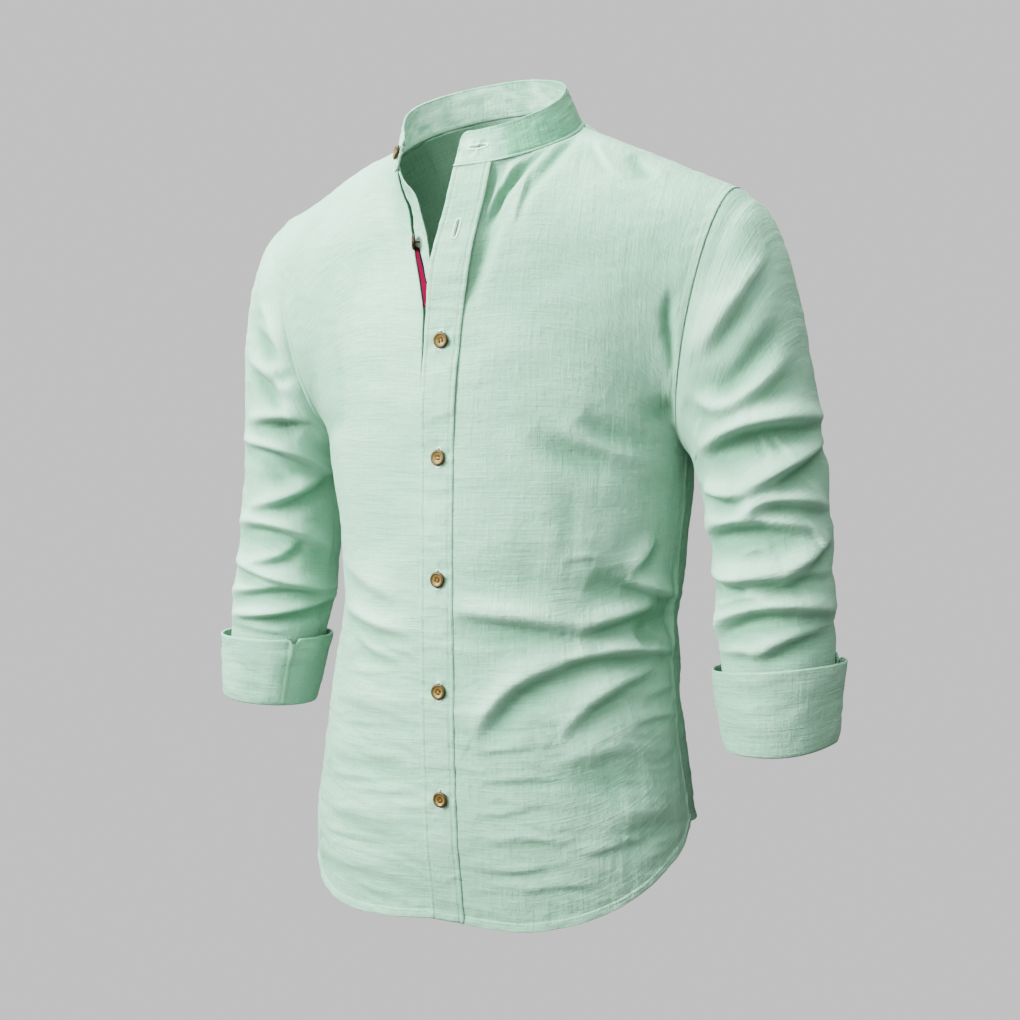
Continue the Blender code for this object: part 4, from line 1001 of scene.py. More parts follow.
def edge_calm(rows, columns):
    """Folds fade out along the armhole, the shoulder and the neck, where the seams hold the cloth."""
    upper = np.clip((np.arange(rows) - LOWER_ROWS) / UPPER_ROWS, 0, 1)[:, None]
    top = np.clip((1 - upper) / TOP_CALM, 0, 1)
    outer = np.where(upper > 0, np.clip((1 - np.linspace(0, 1, columns)) / OUTER_CALM, 0, 1), 1.0)
    return top * outer


def seam_relief(away, along, width=SEAM_WIDTH, rise=SEAM_RISE):
    """A felled seam: raised as far as its sewing, drawn in at the stitches, and puckered along them."""
    before, past = SEAM_EDGE
    inset, half_width, share = SEAM_GROOVE
    raised = rise * (1 - ease(away, width - before, width + past))
    groove = worked(away, (width - inset, half_width, -share * rise))
    return raised + groove + hump(away, width, SEAM_PUCKER_REACH * width) * pucker(along)


def wear_and_fold_shade(push):
    """How rubbed the cloth is on ridges and how deep the painted shade is in troughs: from 0 to 1 about a
    half, higher on ridges, lower in troughs.
    """
    return np.clip(0.5 + push / WEAR_AND_SHADE_DEPTH, 0, 1)


def panel_creases(face, side, across, height):
    """The creases of a half panel: stronger low down, and on the front towards the wearer's left."""
    lower_part = 1 - ease(height, *LOWER_CREASES)
    left_front = ease(across, *LEFT_CREASES) * (1 - ease(height, *LEFT_CREASES_TOP))
    if face == "back" and side == -1:
        across = across + 4 * QUARTER_GIRTH
    weft = PANEL_WEFT[0] + PANEL_WEFT[1] * lower_part
    return creased(across, height, weft, PANEL_WARP[0] + PANEL_WARP[1] * left_front)


def torso_half(side):
    """Front and back half panels with folds, seams and hem: grid, normals, across, and wear with painted fold
    shade, of each.
    """
    panels = {face: half_panel(side, face) for face in ("front", "back")}
    normals = {face: panel_normals(grid) for face, (grid, _) in panels.items()}
    share_normals(normals["front"], normals["back"])
    made = {}
    for face, (grid, across) in panels.items():
        height = grid[..., 2]
        push = fold_offset(TORSO_FOLDS, across, height) + path_offset(front_paths(), across, height)
        push = (push + panel_creases(face, side, across, height)) * edge_calm(*across.shape)
        push = push + torso_sewing(grid, across, face)
        grid = grid + normals[face] * push[..., None]
        normals[face] = panel_normals(grid)
        made[face] = [grid, normals[face], across, wear_and_fold_shade(push)]
    share_normals(normals["front"], normals["back"])
    for grid, *_ in made.values():
        lower, upper = grid[: LOWER_ROWS + 1], grid[LOWER_ROWS + 1:]
        grid[: LOWER_ROWS + 1] = draw_back(lower, SEAM_GAP / 2)
        grid[LOWER_ROWS + 1:] = draw_back(upper, ARMHOLE_GAP)
        grid[:, NECK_COLUMN:] = draw_down(grid[:, NECK_COLUMN:], SEAM_GAP / 2)
        grid[:, :NECK_COLUMN] = draw_down(grid[:, :NECK_COLUMN], NECK_SEAM_DROP)
    return made


def torso_sewing(grid, across, face):
    """The turned hem all round, and on the front the felled side, armhole and shoulder seams."""
    climb = climb_along(grid)
    relief = seam_relief(climb, across, HEM_DEPTH, HEM_RISE)
    if face == "back":
        return relief
    run = distance_along(grid)
    from_side = run[:, -1:] - run
    shoulder = np.arange(grid.shape[1]) >= NECK_COLUMN
    reach, share = HEM_AT_SEAM
    relief = relief * (1 - hump(from_side, 0, reach) * share) + seam_relief(from_side, climb)
    top_seam = seam_relief(climb[-1:] - climb, across) * ease(from_side, *SHOULDER_SEAM_START)
    return relief + top_seam * shoulder


def strip(edge_1, edge_2, hem, top_gap):
    """A strip of cloth between two front edges, from the hem up to the collar seam, and its across values."""
    rise = np.linspace(0, 1, BAND_ROWS + 1)[:, None]
    share = np.linspace(0, 1, BAND_COLUMNS + 1)
    tops = np.array([edge_1[-1][0], edge_2[-1][0]]) - top_gap
    top = tops[0] + (tops[1] - tops[0]) * share
    height = hem + (top - hem) * rise
    line_1 = edge_line(edge_1, height)
    line_2 = edge_line(edge_2, height)
    grid = line_1 + (line_2 - line_1) * share[:, None]
    across = edge_1[0][1] + (edge_2[0][1] - edge_1[0][1]) * share
    flat = np.minimum(height, ARMPIT_HEIGHT)
    chord = edge_line(edge_1, flat) * (1 - share[:, None]) + edge_line(edge_2, flat) * share[:, None]
    grid[..., 1] += (torso_at_x(across + 0 * flat, flat) - chord)[..., 1]
    return grid, np.broadcast_to(across, grid.shape[:2])


def front_strip(edge_1, edge_2, hem, lift):
    """A front band with its folds, turned edges and the small pulls round its buttons."""
    grid, across = strip(edge_1, edge_2, hem, NECK_SEAM_DROP)
    height = grid[..., 2]
    push = fold_offset(TORSO_FOLDS, across, height) + path_offset(front_paths(), across, height)
    push = push * ease(-height, *BAND_FOLDS_BELOW)
    push = push + creased(across, height, *BAND_CREASES) * ease(-height, *BAND_CREASES_BELOW)
    run = distance_along(grid)
    edges = np.minimum(run, run[:, -1:] - run)
    climb = climb_along(grid)
    push = push + worked(edges, *BAND_LINES) + gathered(edges, climb, BAND_GATHERS, 1)
    push = push + seam_relief(climb, across, HEM_DEPTH, BAND_HEM_SHARE * HEM_RISE)
    for button_height, column in FRONT_BUTTONS:
        beside = run - run[:, -1:] * column / FRONT_BUTTON_COLUMNS
        push = push + button_pull(beside, height, button_height)
    grid = grid + panel_normals(grid) * (push + lift)[..., None]
    return [grid, panel_normals(grid), across, wear_and_fold_shade(push)]


def button_pull(across, height, button_height):
    """The cloth dips under a fastened button and puckers round it."""
    up = height - button_height
    away = np.hypot(across, up)
    count, turn = BUTTON_RAYS
    rays = np.cos(count * np.arctan2(up, across) + turn * button_height)
    return worked(away, BUTTON_PULL) * rays + worked(away, BUTTON_DIP)


def front_tape(band):
    """The contrast tape along the outer part of the button band, where the open neck shows it."""
    grid, normals, _, _ = band
    rows = np.flatnonzero((grid[:, 0, 2] > TAPE_END) & (grid[:, 0, 2] < TAPE_TOP))
    rows = rows[: len(rows) - 1 + len(rows) % 2]
    grid, outward = grid[rows], normals[rows, TAPE_FACING_COLUMN:TAPE_FACING_COLUMN + 1]
    width = grid[:, -1] - grid[:, 0]
    direction = width / np.linalg.norm(width, axis=-1, keepdims=True)
    start, end = (grid[:, :1] + direction[:, None] * reach for reach in (SEAM_GAP, TAPE_WIDTH))
    share = np.linspace(0, 1, TAPE_COLUMNS)
    ribbon = start * (1 - share[:, None]) + end * share[:, None]
    rise = BAND_DROP - TAPE_DROP + TAPE_EDGE_RISE * (np.abs(share - 0.5) > TAPE_RAISED_EDGE)
    across = np.broadcast_to(share, ribbon.shape[:2])
    return [ribbon + outward * rise[:, None], np.broadcast_to(outward, ribbon.shape), across,
            np.full(ribbon.shape[:2], 0.5)]


def collar_grid():
    """The band collar: columns from its left end, behind the neck, to its right end."""
    share = np.linspace(0, 1, COLLAR_COLUMNS + 1)
    steps = share - COLLAR_END_CROWDING * np.sin(2 * math.pi * share) / (2 * math.pi)
    angle = LEFT_END_ANGLE + (360.0 - RIGHT_END_ANGLE - LEFT_END_ANGLE) * steps
    signed = np.where(angle <= 180.0, angle, angle - 360.0)
    base = neck_point(signed)
    run = distance_along(base[None])[0]
    turn = np.radians(signed)
    inward = np.stack([-np.sin(turn), np.cos(turn), 0 * turn], -1)
    lean, rise = smooth(COLLAR_TOP, angle).T
    top = base + inward * lean[:, None]
    top[:, 2] += rise
    from_end = np.minimum(run, run[-1] - run)
    short = np.clip(1 - from_end / COLLAR_CORNER, 0, 1)
    height_share = 1 - COLLAR_CORNER_DROP * (1 - np.sqrt(1 - short**2))
    up = np.linspace(0, 1, COLLAR_ROWS + 1)[:, None]
    rows = base + (top - base) * (up * height_share)[..., None]
    return rows, run


def make_collar_grid():
    """The collar with its rounded edges, rolled neck seam, edge sewing and pulls at the buttonhole; painted
    shade darkens the left part of its outside and its top rim.
    """
    grid, run = collar_grid()
    centre = (0.0, NECK_CENTRE_Y, 0.0)
    up = climb_along(grid)
    from_top = up[-1:] - up
    along = run + 0 * up
    nearest = np.minimum(from_top, np.minimum(run, run[-1] - run))
    push = clouds(SWELLS[1:], along, up) * COLLAR_SWELLS
    push = push + COLLAR_CREASES * clouds(WEFT_CREASES + WARP_CREASES, along, up + COLLAR_CREASE_START)
    push = push + worked(nearest, *COLLAR_LINES) + worked(up, *NECK_LINES)
    push = push + gathered(up, along, NECK_GATHERS, 2)
    from_hole, above_hole = along - COLLAR_BUTTONHOLE_INSET, up - COLLAR_PULL_HEIGHT
    count, turn = COLLAR_RAYS
    rays = np.cos(count * np.arctan2(above_hole, from_hole) + turn)
    away = np.hypot(from_hole * COLLAR_PULL_NARROWING, above_hole)
    push = push + worked(away, COLLAR_PULL) * rays
    grid = grid + panel_normals(grid, centre) * push[..., None]
    # painted shade: the left part of the collar's outside is made darker
    painted_shade_side = ease(along, *COLLAR_PAINTED_SHADE_START) * (1 - ease(along, *COLLAR_PAINTED_SHADE_END))
    wear_and_shade = wear_and_fold_shade(push) + clouds(COLLAR_MOTTLE, along, up) - COLLAR_PAINTED_SHADE * painted_shade_side
    # painted shade along the top rim
    wear_and_shade = wear_and_shade - COLLAR_RIM_PAINTED_SHADE * hump(from_top, 0, COLLAR_RIM)
    return [grid, panel_normals(grid, centre), along, wear_and_shade]


def sleeve_grid(side):
    """Rings of a sleeve, from the armhole to the cuff, and the across value of each column."""
    station = np.linspace(0, SLEEVE[-1][0], SLEEVE_RINGS + 1)
    inner_x, inner_z, outer_x, outer_z, centre_y, half_depth = smooth(SLEEVE, station).T[..., None]
    if side == -1:
        sway = smooth(RIGHT_SLEEVE_SWAY, station)
        inner_x = inner_x + sway[:, :1]
        outer_x = outer_x + sway[:, 1:]
    turn = np.linspace(0, 2 * math.pi, SLEEVE_COLUMNS, endpoint=False)
    share = (1 - np.cos(turn)) / 2
    grid = np.stack([
        side * (inner_x + (outer_x - inner_x) * share),
        centre_y - half_depth * oval_swing(turn),
        inner_z + (outer_z - inner_z) * share,
    ], -1)
    first = armhole_point(side, turn)
    near = (1 - ease(station, 0, SLEEVE_HEAD))[:, None, None]
    grid = grid + (first - grid[0]) * near
    across = (turn - math.pi) * SLEEVE_SCALE_ROUND
    return grid, np.broadcast_to(across, grid.shape[:2])


def make_sleeve_grid(side, word):
    """A sleeve tube with its folds, small creases, set-in head and underarm seam."""
    grid, across = sleeve_grid(side)
    normals = tube_normals(grid)
    share = np.linspace(0, 1, grid.shape[0])
    calm = np.clip(share / SLEEVE_CALM[0], 0, 1) * np.clip((1 - share) / SLEEVE_CALM[1], 0, 1)
    height = grid[..., 2]
    seen_across = across
    if side == -1:
        seen_across = np.where(across > SEEN_CUT, across - 2 * math.pi * SLEEVE_SCALE_ROUND, across)
    seen = seen_paths("sleeve_" + word, grid, normals, seen_across)
    push = fold_offset(SLEEVE_FOLDS[side], across, height) + path_offset(seen, seen_across, height)
    fine = creased(across, height + SLEEVE_CREASE_SHIFT * side, *SLEEVE_CREASES) * fade_at_seam(across)
    push = (push + fine) * calm[:, None]
    push = push - SLEEVE_HEAD_DIP * (1 - ease(climb_along(grid), 0.0, SLEEVE_HEAD_LINE))
    grid = grid + normals * push[..., None]
    grid = draw_down(grid[::-1], ARMHOLE_GAP)[::-1]
    return [grid, tube_normals(grid), across, wear_and_fold_shade(push)]


def fade_at_seam(across):
    """Creases fade out at the seam along a tube, so that they don't break there."""
    return ease(np.abs(across - across[0, 0]), 0.0, SEAM_FADE)


def make_cuff_grid(side):
    """A turned-back cuff: down inside the sleeve end, round the fold and up outside."""
    key = np.linspace(0, 1, len(CUFF))
    turned = np.linspace(0, 1, CUFF_ROWS + 1)[:, None]
    rows = smooth(np.column_stack([key, np.array(CUFF)]), turned[:, 0])
    height, half_width, half_depth, centre_x = rows.T[..., None]
    turn = np.linspace(0, 2 * math.pi, CUFF_COLUMNS, endpoint=False)
    size = CUFF_SIZE[side]
    raised = turned**2 * (1 - np.cos(turn)) * 2 * half_width * CUFF_TILT[side]
    grid = np.stack([
        side * (centre_x - half_width * size * np.cos(turn) + CUFF_LEAN[side] * (CUFF[-1][0] - height)),
        CUFF_CENTRE_Y - half_depth * size * np.sin(turn),
        height + raised,
    ], -1)
    rise, sharpness = CUFF_BOTTOM_RISE[side]
    grid[..., 2] += rise * ((1 - np.cos(turn)) / 2) ** sharpness * np.sin(math.pi * turned)
    outermost_row = slice(-1, None)
    normals = tube_normals(grid, outermost_row)
    across = (turn - math.pi) * SLEEVE_SCALE_ROUND + 0 * height
    opening, _ = seen_place(grid, normals, across, *CUFF_OPENING[side])
    past = across - opening
    outer_edge = ease(turned, *CUFF_OUTER_EDGE)
    grid[..., 2] -= CUFF_NOTCH_DEPTH * hump(past, 0, CUFF_NOTCH_WIDTH) * outer_edge
    overlap = ease(past, *CUFF_OVERLAP_START) * (1 - ease(past, *CUFF_OVERLAP_END))
    grid[..., 2] += CUFF_CORNER_RISE[side] * overlap * outer_edge
    climb = climb_along(grid)
    from_top = climb[-1:] - climb
    outside = ease(turned, *CUFF_OUTSIDE)
    push = creased(across, climb + CUFF_CREASE_SHIFT * side, *CUFF_CREASES) * fade_at_seam(across)
    push = push + CUFF_OVERLAP * overlap + worked(past, CUFF_OVERLAP_LINE) + worked(from_top, *CUFF_LINES)
    push = push + gathered(from_top, across, CUFF_GATHERS, 3 + side)
    push = push * outside + worked(from_top, CUFF_RIM_LINE)
    grid = grid + normals * (push + CUFF_THICKNESS)[..., None]
    return [grid, tube_normals(grid, outermost_row), across, wear_and_fold_shade(push)]


def new_mesh(name, points, faces=(), edges=()):
    """A mesh of points, edges and faces."""
    mesh = bpy.data.meshes.new(name)
    mesh.from_pydata(np.asarray(points).reshape(-1, 3).tolist(), edges, faces)
    return mesh


def in_scene(name, data):
    """A new object of the scene."""
    made = bpy.data.objects.new(name, data)
    bpy.context.scene.collection.objects.link(made)
    return made


def finished(made):
    """The mesh of an object with its modifiers."""
    bpy.context.view_layer.update()
    return bpy.data.meshes.new_from_object(made.evaluated_get(bpy.context.evaluated_depsgraph_get()))


def numbered(rows, columns, first=0):
    """The numbers of the points of a grid, row by row."""
    return first + np.arange(rows * columns).reshape(rows, columns)


def cloth_wall(name, piece, thickness, material, node, closed=False, inside_painted_share=INSIDE_PAINTED_SHADE):
    """A piece of cloth in a solid's place: a fine outer face, a coarser inner one, and its cut edges."""
    grid, normals, across, wear_and_shade = piece
    inner = (grid - normals * thickness)[::2, ::2]
    rows, columns = grid.shape[:2]
    fine, coarse = numbered(rows, columns), numbered(*inner.shape[:2], first=rows * columns)
    if closed:
        fine, coarse = (np.concatenate([index, index[:, :1]], 1) for index in (fine, coarse))
    faces = quads(fine) + quads(coarse)
    for end in (0, -1):
        faces += edge_faces(fine[end], coarse[end])
    if not closed:
        for end in (0, -1):
            faces += edge_faces(fine[:, end], coarse[:, end])
    mesh = new_mesh(name, np.concatenate([grid.reshape(-1, 3), inner.reshape(-1, 3)]), faces)
    close_outward(mesh)
    place = np.stack([across, cloth_length(grid)], -1)
    set_cloth_map(mesh, np.concatenate([place.reshape(-1, 2), place[::2, ::2].reshape(-1, 2)]))
    # the inside face takes a share of the outside's value: painted shade that darkens it, or painted light
    # that makes it paler on the collar
    wear_and_shade_values = np.concatenate([wear_and_shade.reshape(-1), wear_and_shade[::2, ::2].reshape(-1) * inside_painted_share])
    # the stored wear value also carries the painted shade of the troughs
    mesh.attributes.new("wear_and_shade", "FLOAT", "POINT").data.foreach_set("value", wear_and_shade_values.astype(np.float32))
    cloth = dress(name, mesh, material)
    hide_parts(node)
    return cloth


def quads(index):
    """Faces between the neighbouring points of a grid of indices."""
    corners = (index[:-1, :-1], index[:-1, 1:], index[1:, 1:], index[1:, :-1])
    return np.stack(corners, -1).reshape(-1, 4).tolist()


def edge_faces(fine, coarse):
    """The cut edge between a fine line of points and a coarse one with every second point."""
    corners = (fine[:-2:2], fine[1:-1:2], fine[2::2], coarse[1:], coarse[:-1])
    return np.stack(corners, -1).tolist()


def close_outward(mesh):
    """Turn the faces of a closed mesh outward and shade it smooth."""
    shape = bmesh.new()
    shape.from_mesh(mesh)
    bmesh.ops.recalc_face_normals(shape, faces=shape.faces)
    shape.to_mesh(mesh)
    shape.free()
    mesh.shade_smooth()


def cloth_length(grid):
    """The distance along the cloth from its first row, measured down its middle column."""
    run = distance_along(grid[:, grid.shape[1] // 2][None])[0]
    return np.broadcast_to(run[:, None], grid.shape[:2])


def set_cloth_map(mesh, place):
    """Store each point's place on the cloth, in metres, as the mesh's map."""
    layer = mesh.uv_layers.new(name="cloth")
    corners = np.empty(len(mesh.loops), int)
    mesh.loops.foreach_get("vertex_index", corners)
    layer.data.foreach_set("uv", place[corners].astype(np.float32).ravel())


def dress(name, mesh, material=None):
    """Put a mesh in the scene as a piece of the shirt that rides on its one body."""
    piece = in_scene(name, mesh)
    if material is not None:
        mesh.materials.append(material)
    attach(piece, "root")
    return piece


def inset_line(piece, side, distance, start=0, end=None):
    """Points at a distance from one side of a piece of cloth, with their outward directions."""
    lines = np.concatenate(piece[:2], -1)
    if side in ("bottom", "top"):
        lines = flip(lines)
    if side in ("last", "top"):
        lines = lines[:, ::-1]
    lines = lines[start:end]
    run = distance_along(lines[..., :3])
    found = [[np.interp(distance, along, line[:, i]) for i in range(6)] for along, line in zip(run, lines)]
    return np.split(np.array(found), 2, axis=1)


def on_cloth(piece, row, column):
    """The points and outward directions at fractional rows and columns of a piece of cloth."""
    grid = np.concatenate(piece[:2], -1)
    r = np.clip(np.asarray(row, float), 0, grid.shape[0] - 1.001)
    c = np.clip(np.asarray(column, float), 0, grid.shape[1] - 1.001)
    i, j = r.astype(int), c.astype(int)
    s, t = (r - i)[..., None], (c - j)[..., None]
    low = grid[i, j] * (1 - t) + grid[i, j + 1] * t
    high = grid[i + 1, j] * (1 - t) + grid[i + 1, j + 1] * t
    found = low * (1 - s) + high * s
    return found[..., :3], found[..., 3:]


def round_place(piece, row, column, up, along):
    """Points near a row and column of a piece, moved by distances up and along the cloth."""
    grid = piece[0]
    r, c = int(round(row)), int(round(column))
    row_step = np.linalg.norm(grid[r + 1, c] - grid[r - 1, c]) / 2
    column_step = np.linalg.norm(grid[r, c + 1] - grid[r, c - 1]) / 2
    return on_cloth(piece, row + np.asarray(up) / row_step, column + np.asarray(along) / column_step)


def live(sockets, kind):
    """The sockets of a kind that a node shows."""
    return [socket for socket in sockets if socket.type == kind and socket.enabled]


def stitch_tree():
    """Threads laid end to end, or side by side, along lines of sewing; `outward` is stored on the lines."""
    tree = bpy.data.node_groups.new("row of stitches", "GeometryNodeTree")
    sockets = {}
    for name, kind, value in (
        ("Sewing Lines", "NodeSocketGeometry", None),
        ("Pitch", "NodeSocketFloat", STITCH_PITCH),
        ("Thread Length", "NodeSocketFloat", STITCH_LENGTH),
        ("Thread Radius", "NodeSocketFloat", THREAD_RADIUS),
        ("Laid Across", "NodeSocketFloat", 0.0),
        ("Unevenness", "NodeSocketFloat", STITCH_UNEVENNESS),
        ("Thread", "NodeSocketMaterial", None),
    ):
        sockets[name] = tree.interface.new_socket(name, in_out="INPUT", socket_type=kind)
        if value is not None:
            sockets[name].default_value = value
    tree.interface.new_socket("Stitches", in_out="OUTPUT", socket_type="NodeSocketGeometry")
    given = tree.nodes.new("NodeGroupInput").outputs
    result = tree.nodes.new("NodeGroupOutput").inputs

    curve = add_node(tree, "GeometryNodeMeshToCurve")
    even = add_node(tree, "GeometryNodeResampleCurve", {"mode": "LENGTH"})
    ahead = add_node(tree, "GeometryNodeInputTangent").outputs["Tangent"]
    outward = add_node(tree, "GeometryNodeInputNamedAttribute", {"data_type": "FLOAT_VECTOR"}, Name="outward")
    sideways = add_node(tree, "ShaderNodeVectorMath", {"operation": "CROSS_PRODUCT"})
    direction = add_node(tree, "ShaderNodeMix", {"data_type": "VECTOR"})
    turn = add_node(tree, "FunctionNodeAlignRotationToVector", {"axis": "Z"})
    thread = add_node(tree, "GeometryNodeMeshUVSphere", Segments=6, Rings=5, Radius=1.0)
    size = add_node(tree, "ShaderNodeCombineXYZ")
    uneven = add_node(tree, "FunctionNodeRandomValue", Seed=STITCH_SEED)
    scaled = add_node(tree, "ShaderNodeVectorMath", {"operation": "SCALE"})
    laid = add_node(tree, "GeometryNodeInstanceOnPoints")
    real = add_node(tree, "GeometryNodeRealizeInstances")
    rounded = add_node(tree, "GeometryNodeSetShadeSmooth")
    coloured = add_node(tree, "GeometryNodeSetMaterial")
    along, across = live(direction.inputs, "VECTOR")[-2:]
    least, most = live(uneven.inputs, "VALUE")[:2]
    most.default_value = 1.0
    link(tree, (
        (given["Sewing Lines"], curve.inputs["Mesh"]),
        (curve.outputs["Curve"], even.inputs["Curve"]),
        (given["Pitch"], even.inputs["Length"]),
        (even.outputs["Curve"], laid.inputs["Points"]),
        (ahead, sideways.inputs[0]),
        (outward.outputs["Attribute"], sideways.inputs[1]),
        (given["Laid Across"], direction.inputs["Factor"]),
        (ahead, along),
        (sideways.outputs["Vector"], across),
        (live(direction.outputs, "VECTOR")[0], turn.inputs["Vector"]),
        (turn.outputs["Rotation"], laid.inputs["Rotation"]),
        (given["Thread Radius"], size.inputs["X"]),
        (given["Thread Radius"], size.inputs["Y"]),
        (arithmetic(tree, "MULTIPLY", given["Thread Length"], 0.5), size.inputs["Z"]),
        (arithmetic(tree, "SUBTRACT", 1.0, given["Unevenness"]), least),
        (size.outputs["Vector"], scaled.inputs[0]),
        (live(uneven.outputs, "VALUE")[0], scaled.inputs["Scale"]),
        (scaled.outputs["Vector"], laid.inputs["Scale"]),
        (thread.outputs["Mesh"], laid.inputs["Instance"]),
        (laid.outputs["Instances"], real.inputs["Geometry"]),
        (real.outputs["Geometry"], rounded.inputs["Geometry"]),
        (rounded.outputs["Geometry"], coloured.inputs["Geometry"]),
        (given["Thread"], coloured.inputs["Material"]),
        (coloured.outputs["Geometry"], result["Stitches"]),
    ))
    return tree, {name: socket.identifier for name, socket in sockets.items()}


def sew(name, lines, stitches, thread, **sizes):
    """Sew along lines of points and outward directions, raised by a part of the thread's radius."""
    tree, identifiers = stitches
    rise = THREAD_SINK * sizes.get("Thread_Radius", THREAD_RADIUS)
    points, edges = [], []
    for line, direction in lines:
        edges += [(len(points) + k, len(points) + k + 1) for k in range(len(line) - 1)]
        points += list(line + direction * rise)
    mesh = new_mesh(name, points, edges=edges)
    outward = np.concatenate([direction for _, direction in lines]).astype(np.float32)
    mesh.attributes.new("outward", "FLOAT_VECTOR", "POINT").data.foreach_set("vector", outward.ravel())
    path = in_scene(name + "_path", mesh)
    modifier = path.modifiers.new("sewing", "NODES")
    modifier.node_group = tree
    modifier[identifiers["Thread"]] = thread
    for key, value in sizes.items():
        modifier[identifiers[key.replace("_", " ")]] = value
    made = finished(path)
    bpy.data.objects.remove(path)
    return dress(name, made)


def buttonhole(piece, row, column, upright):
    """The lines of a worked buttonhole's two edges and ends, and the points of its dark opening."""
    turn = np.linspace(0, 2 * math.pi, BUTTONHOLE_POINTS)
    long_way, short_way = (
        reach * np.sign(way) * np.abs(way) ** squareness
        for reach, way, squareness in zip(
            (BUTTONHOLE_LENGTH / 2, BUTTONHOLE_WIDTH / 2 - BUTTONHOLE_EDGE),
            (np.cos(turn), np.sin(turn)),
            BUTTONHOLE_SQUARENESS,
        )
    )
    t, s = (np.linspace(-1, 1, count) for count in SLIT_POINTS)
    t = t[:, None]
    length = t * (BUTTONHOLE_LENGTH / 2 - BUTTONHOLE_END) + 0 * s
    width = s * (BUTTONHOLE_OPENING / 2) * np.sqrt(np.clip(1 - t**2, 0, 1))
    pairs = ((long_way, short_way), (length, width))
    return [round_place(piece, row, column, *(pair if upright else pair[::-1])) for pair in pairs]


def slit(name, opening, material):
    """The sunken opening between the two edges of a buttonhole, in a dark colour that paints the shadow inside
    it.
    """
    place, outward = opening
    layers = [place + outward * SLIT_RISE, place - outward * SLIT_SINK]
    top = numbered(*place.shape[:2])
    bottom = top + top.size
    rims = [
        np.concatenate([index[0, :-1], index[:-1, -1], index[-1, :0:-1], index[:0:-1, 0]])
        for index in (top, bottom)
    ]
    corners = (rims[0], np.roll(rims[0], -1), np.roll(rims[1], -1), rims[1])
    mesh = new_mesh(name, np.stack(layers), quads(top) + quads(bottom) + np.stack(corners, -1).tolist())
    close_outward(mesh)
    return dress(name, mesh, material)


def tube(points, radius):
    """Vertices and faces of a round thread along a line of points, closed at both ends."""
    points = np.array(points, float)
    ahead = np.gradient(points, axis=0)
    ahead /= np.linalg.norm(ahead, axis=1, keepdims=True)
    across = np.cross(ahead, np.array([0.31, 0.52, 0.79]))
    across /= np.linalg.norm(across, axis=1, keepdims=True)
    other = np.cross(ahead, across)
    turn = np.linspace(0, 2 * math.pi, TUBE_SIDES, endpoint=False)[:, None, None]
    rings = points + radius * (np.cos(turn) * across + np.sin(turn) * other)
    index = numbered(TUBE_SIDES, len(points))
    faces = quads(np.concatenate([index, index[:1]])) + [index[::-1, 0].tolist(), index[:, -1].tolist()]
    return rings.reshape(-1, 3), faces


def joined_mesh(name, parts):
    """One mesh from several lists of vertices and faces."""
    points, faces = [], []
    for part_points, part_faces in parts:
        faces += [[len(points) + i for i in face] for face in part_faces]
        points += list(part_points)
    mesh = new_mesh(name, points, faces)
    close_outward(mesh)
    return mesh


def button_shape():
    """A turned wooden button with a raised rim, a shallow dish and four holes."""
    edges = [(k, k + 1) for k in range(len(BUTTON_PROFILE) - 1)]
    profile = [(radius, 0.0, height) for radius, height in BUTTON_PROFILE]
    turned = in_scene("turned_button", new_mesh("turned_button", profile, edges=edges))
    screw = turned.modifiers.new("turn", "SCREW")
    screw.steps = screw.render_steps = BUTTON_SEGMENTS
    screw.use_merge_vertices = True
    screw.merge_threshold = 0.00001
    bore = bmesh.new()
    for x in (-HOLE_SPREAD, HOLE_SPREAD):
        for y in (-HOLE_SPREAD, HOLE_SPREAD):
            place = Matrix.Translation((x, y, BUTTON_THICKNESS / 2))
            bmesh.ops.create_cone(bore, cap_ends=True, segments=HOLE_SIDES, radius1=HOLE_RADIUS,
                                  radius2=HOLE_RADIUS, depth=3 * BUTTON_THICKNESS, matrix=place)
    bores = bpy.data.meshes.new("thread_bores")
    bore.to_mesh(bores)
    bore.free()
    cutter = in_scene("thread_bores", bores)
    turned.modifiers.new("holes", "BOOLEAN").object = cutter
    made = finished(turned)
    bpy.data.objects.remove(turned)
    bpy.data.objects.remove(cutter)
    close_outward(made)
    made.set_sharp_from_angle(angle=math.radians(BUTTON_EDGE_ANGLE))
    place = np.empty(3 * len(made.vertices), np.float32)
    made.vertices.foreach_get("co", place)
    set_cloth_map(made, place.reshape(-1, 3)[:, :2])
    return made


def button_threads(gap):
    """The strands that hold a button: two pairs over its dish, and a shank down to the cloth."""
    parts = []
    t = np.linspace(-1, 1, STRAND_POINTS)
    for pair in (-HOLE_SPREAD, HOLE_SPREAD):
        for strand in STRAND_OFFSETS:
            x = t * (HOLE_SPREAD - 0.0001)
            y = pair + strand * (1 - 0.3 * np.abs(t))
            z = STRAND_HEIGHT + STRAND_CROWN * (1 - t**6) - STRAND_DROP * np.abs(t) ** 10
            parts.append(tube(np.stack([x, y, z], -1), STRAND_RADIUS))
    for turn in np.linspace(0, 2 * math.pi, SHANK_STRANDS, endpoint=False):
        foot = np.array([math.cos(turn), math.sin(turn), 0]) * SHANK_RADIUS
        line = [foot * 1.6 + (0, 0, -gap), foot + (0, 0, -gap / 2), foot * 1.3 + (0, 0, 0.0004)]
        parts.append(tube(line, SHANK_STRAND_RADIUS))
    return parts


def button_place(point, outward, turn):
    """The matrix that sets a button with its back at a point, facing outward, turned about its own axis."""
    facing_out = Vector(outward).normalized().to_track_quat("Z", "Y").to_matrix().to_4x4()
    return Matrix.Translation(Vector(point)) @ facing_out @ Matrix.Rotation(turn, 4, "Z")


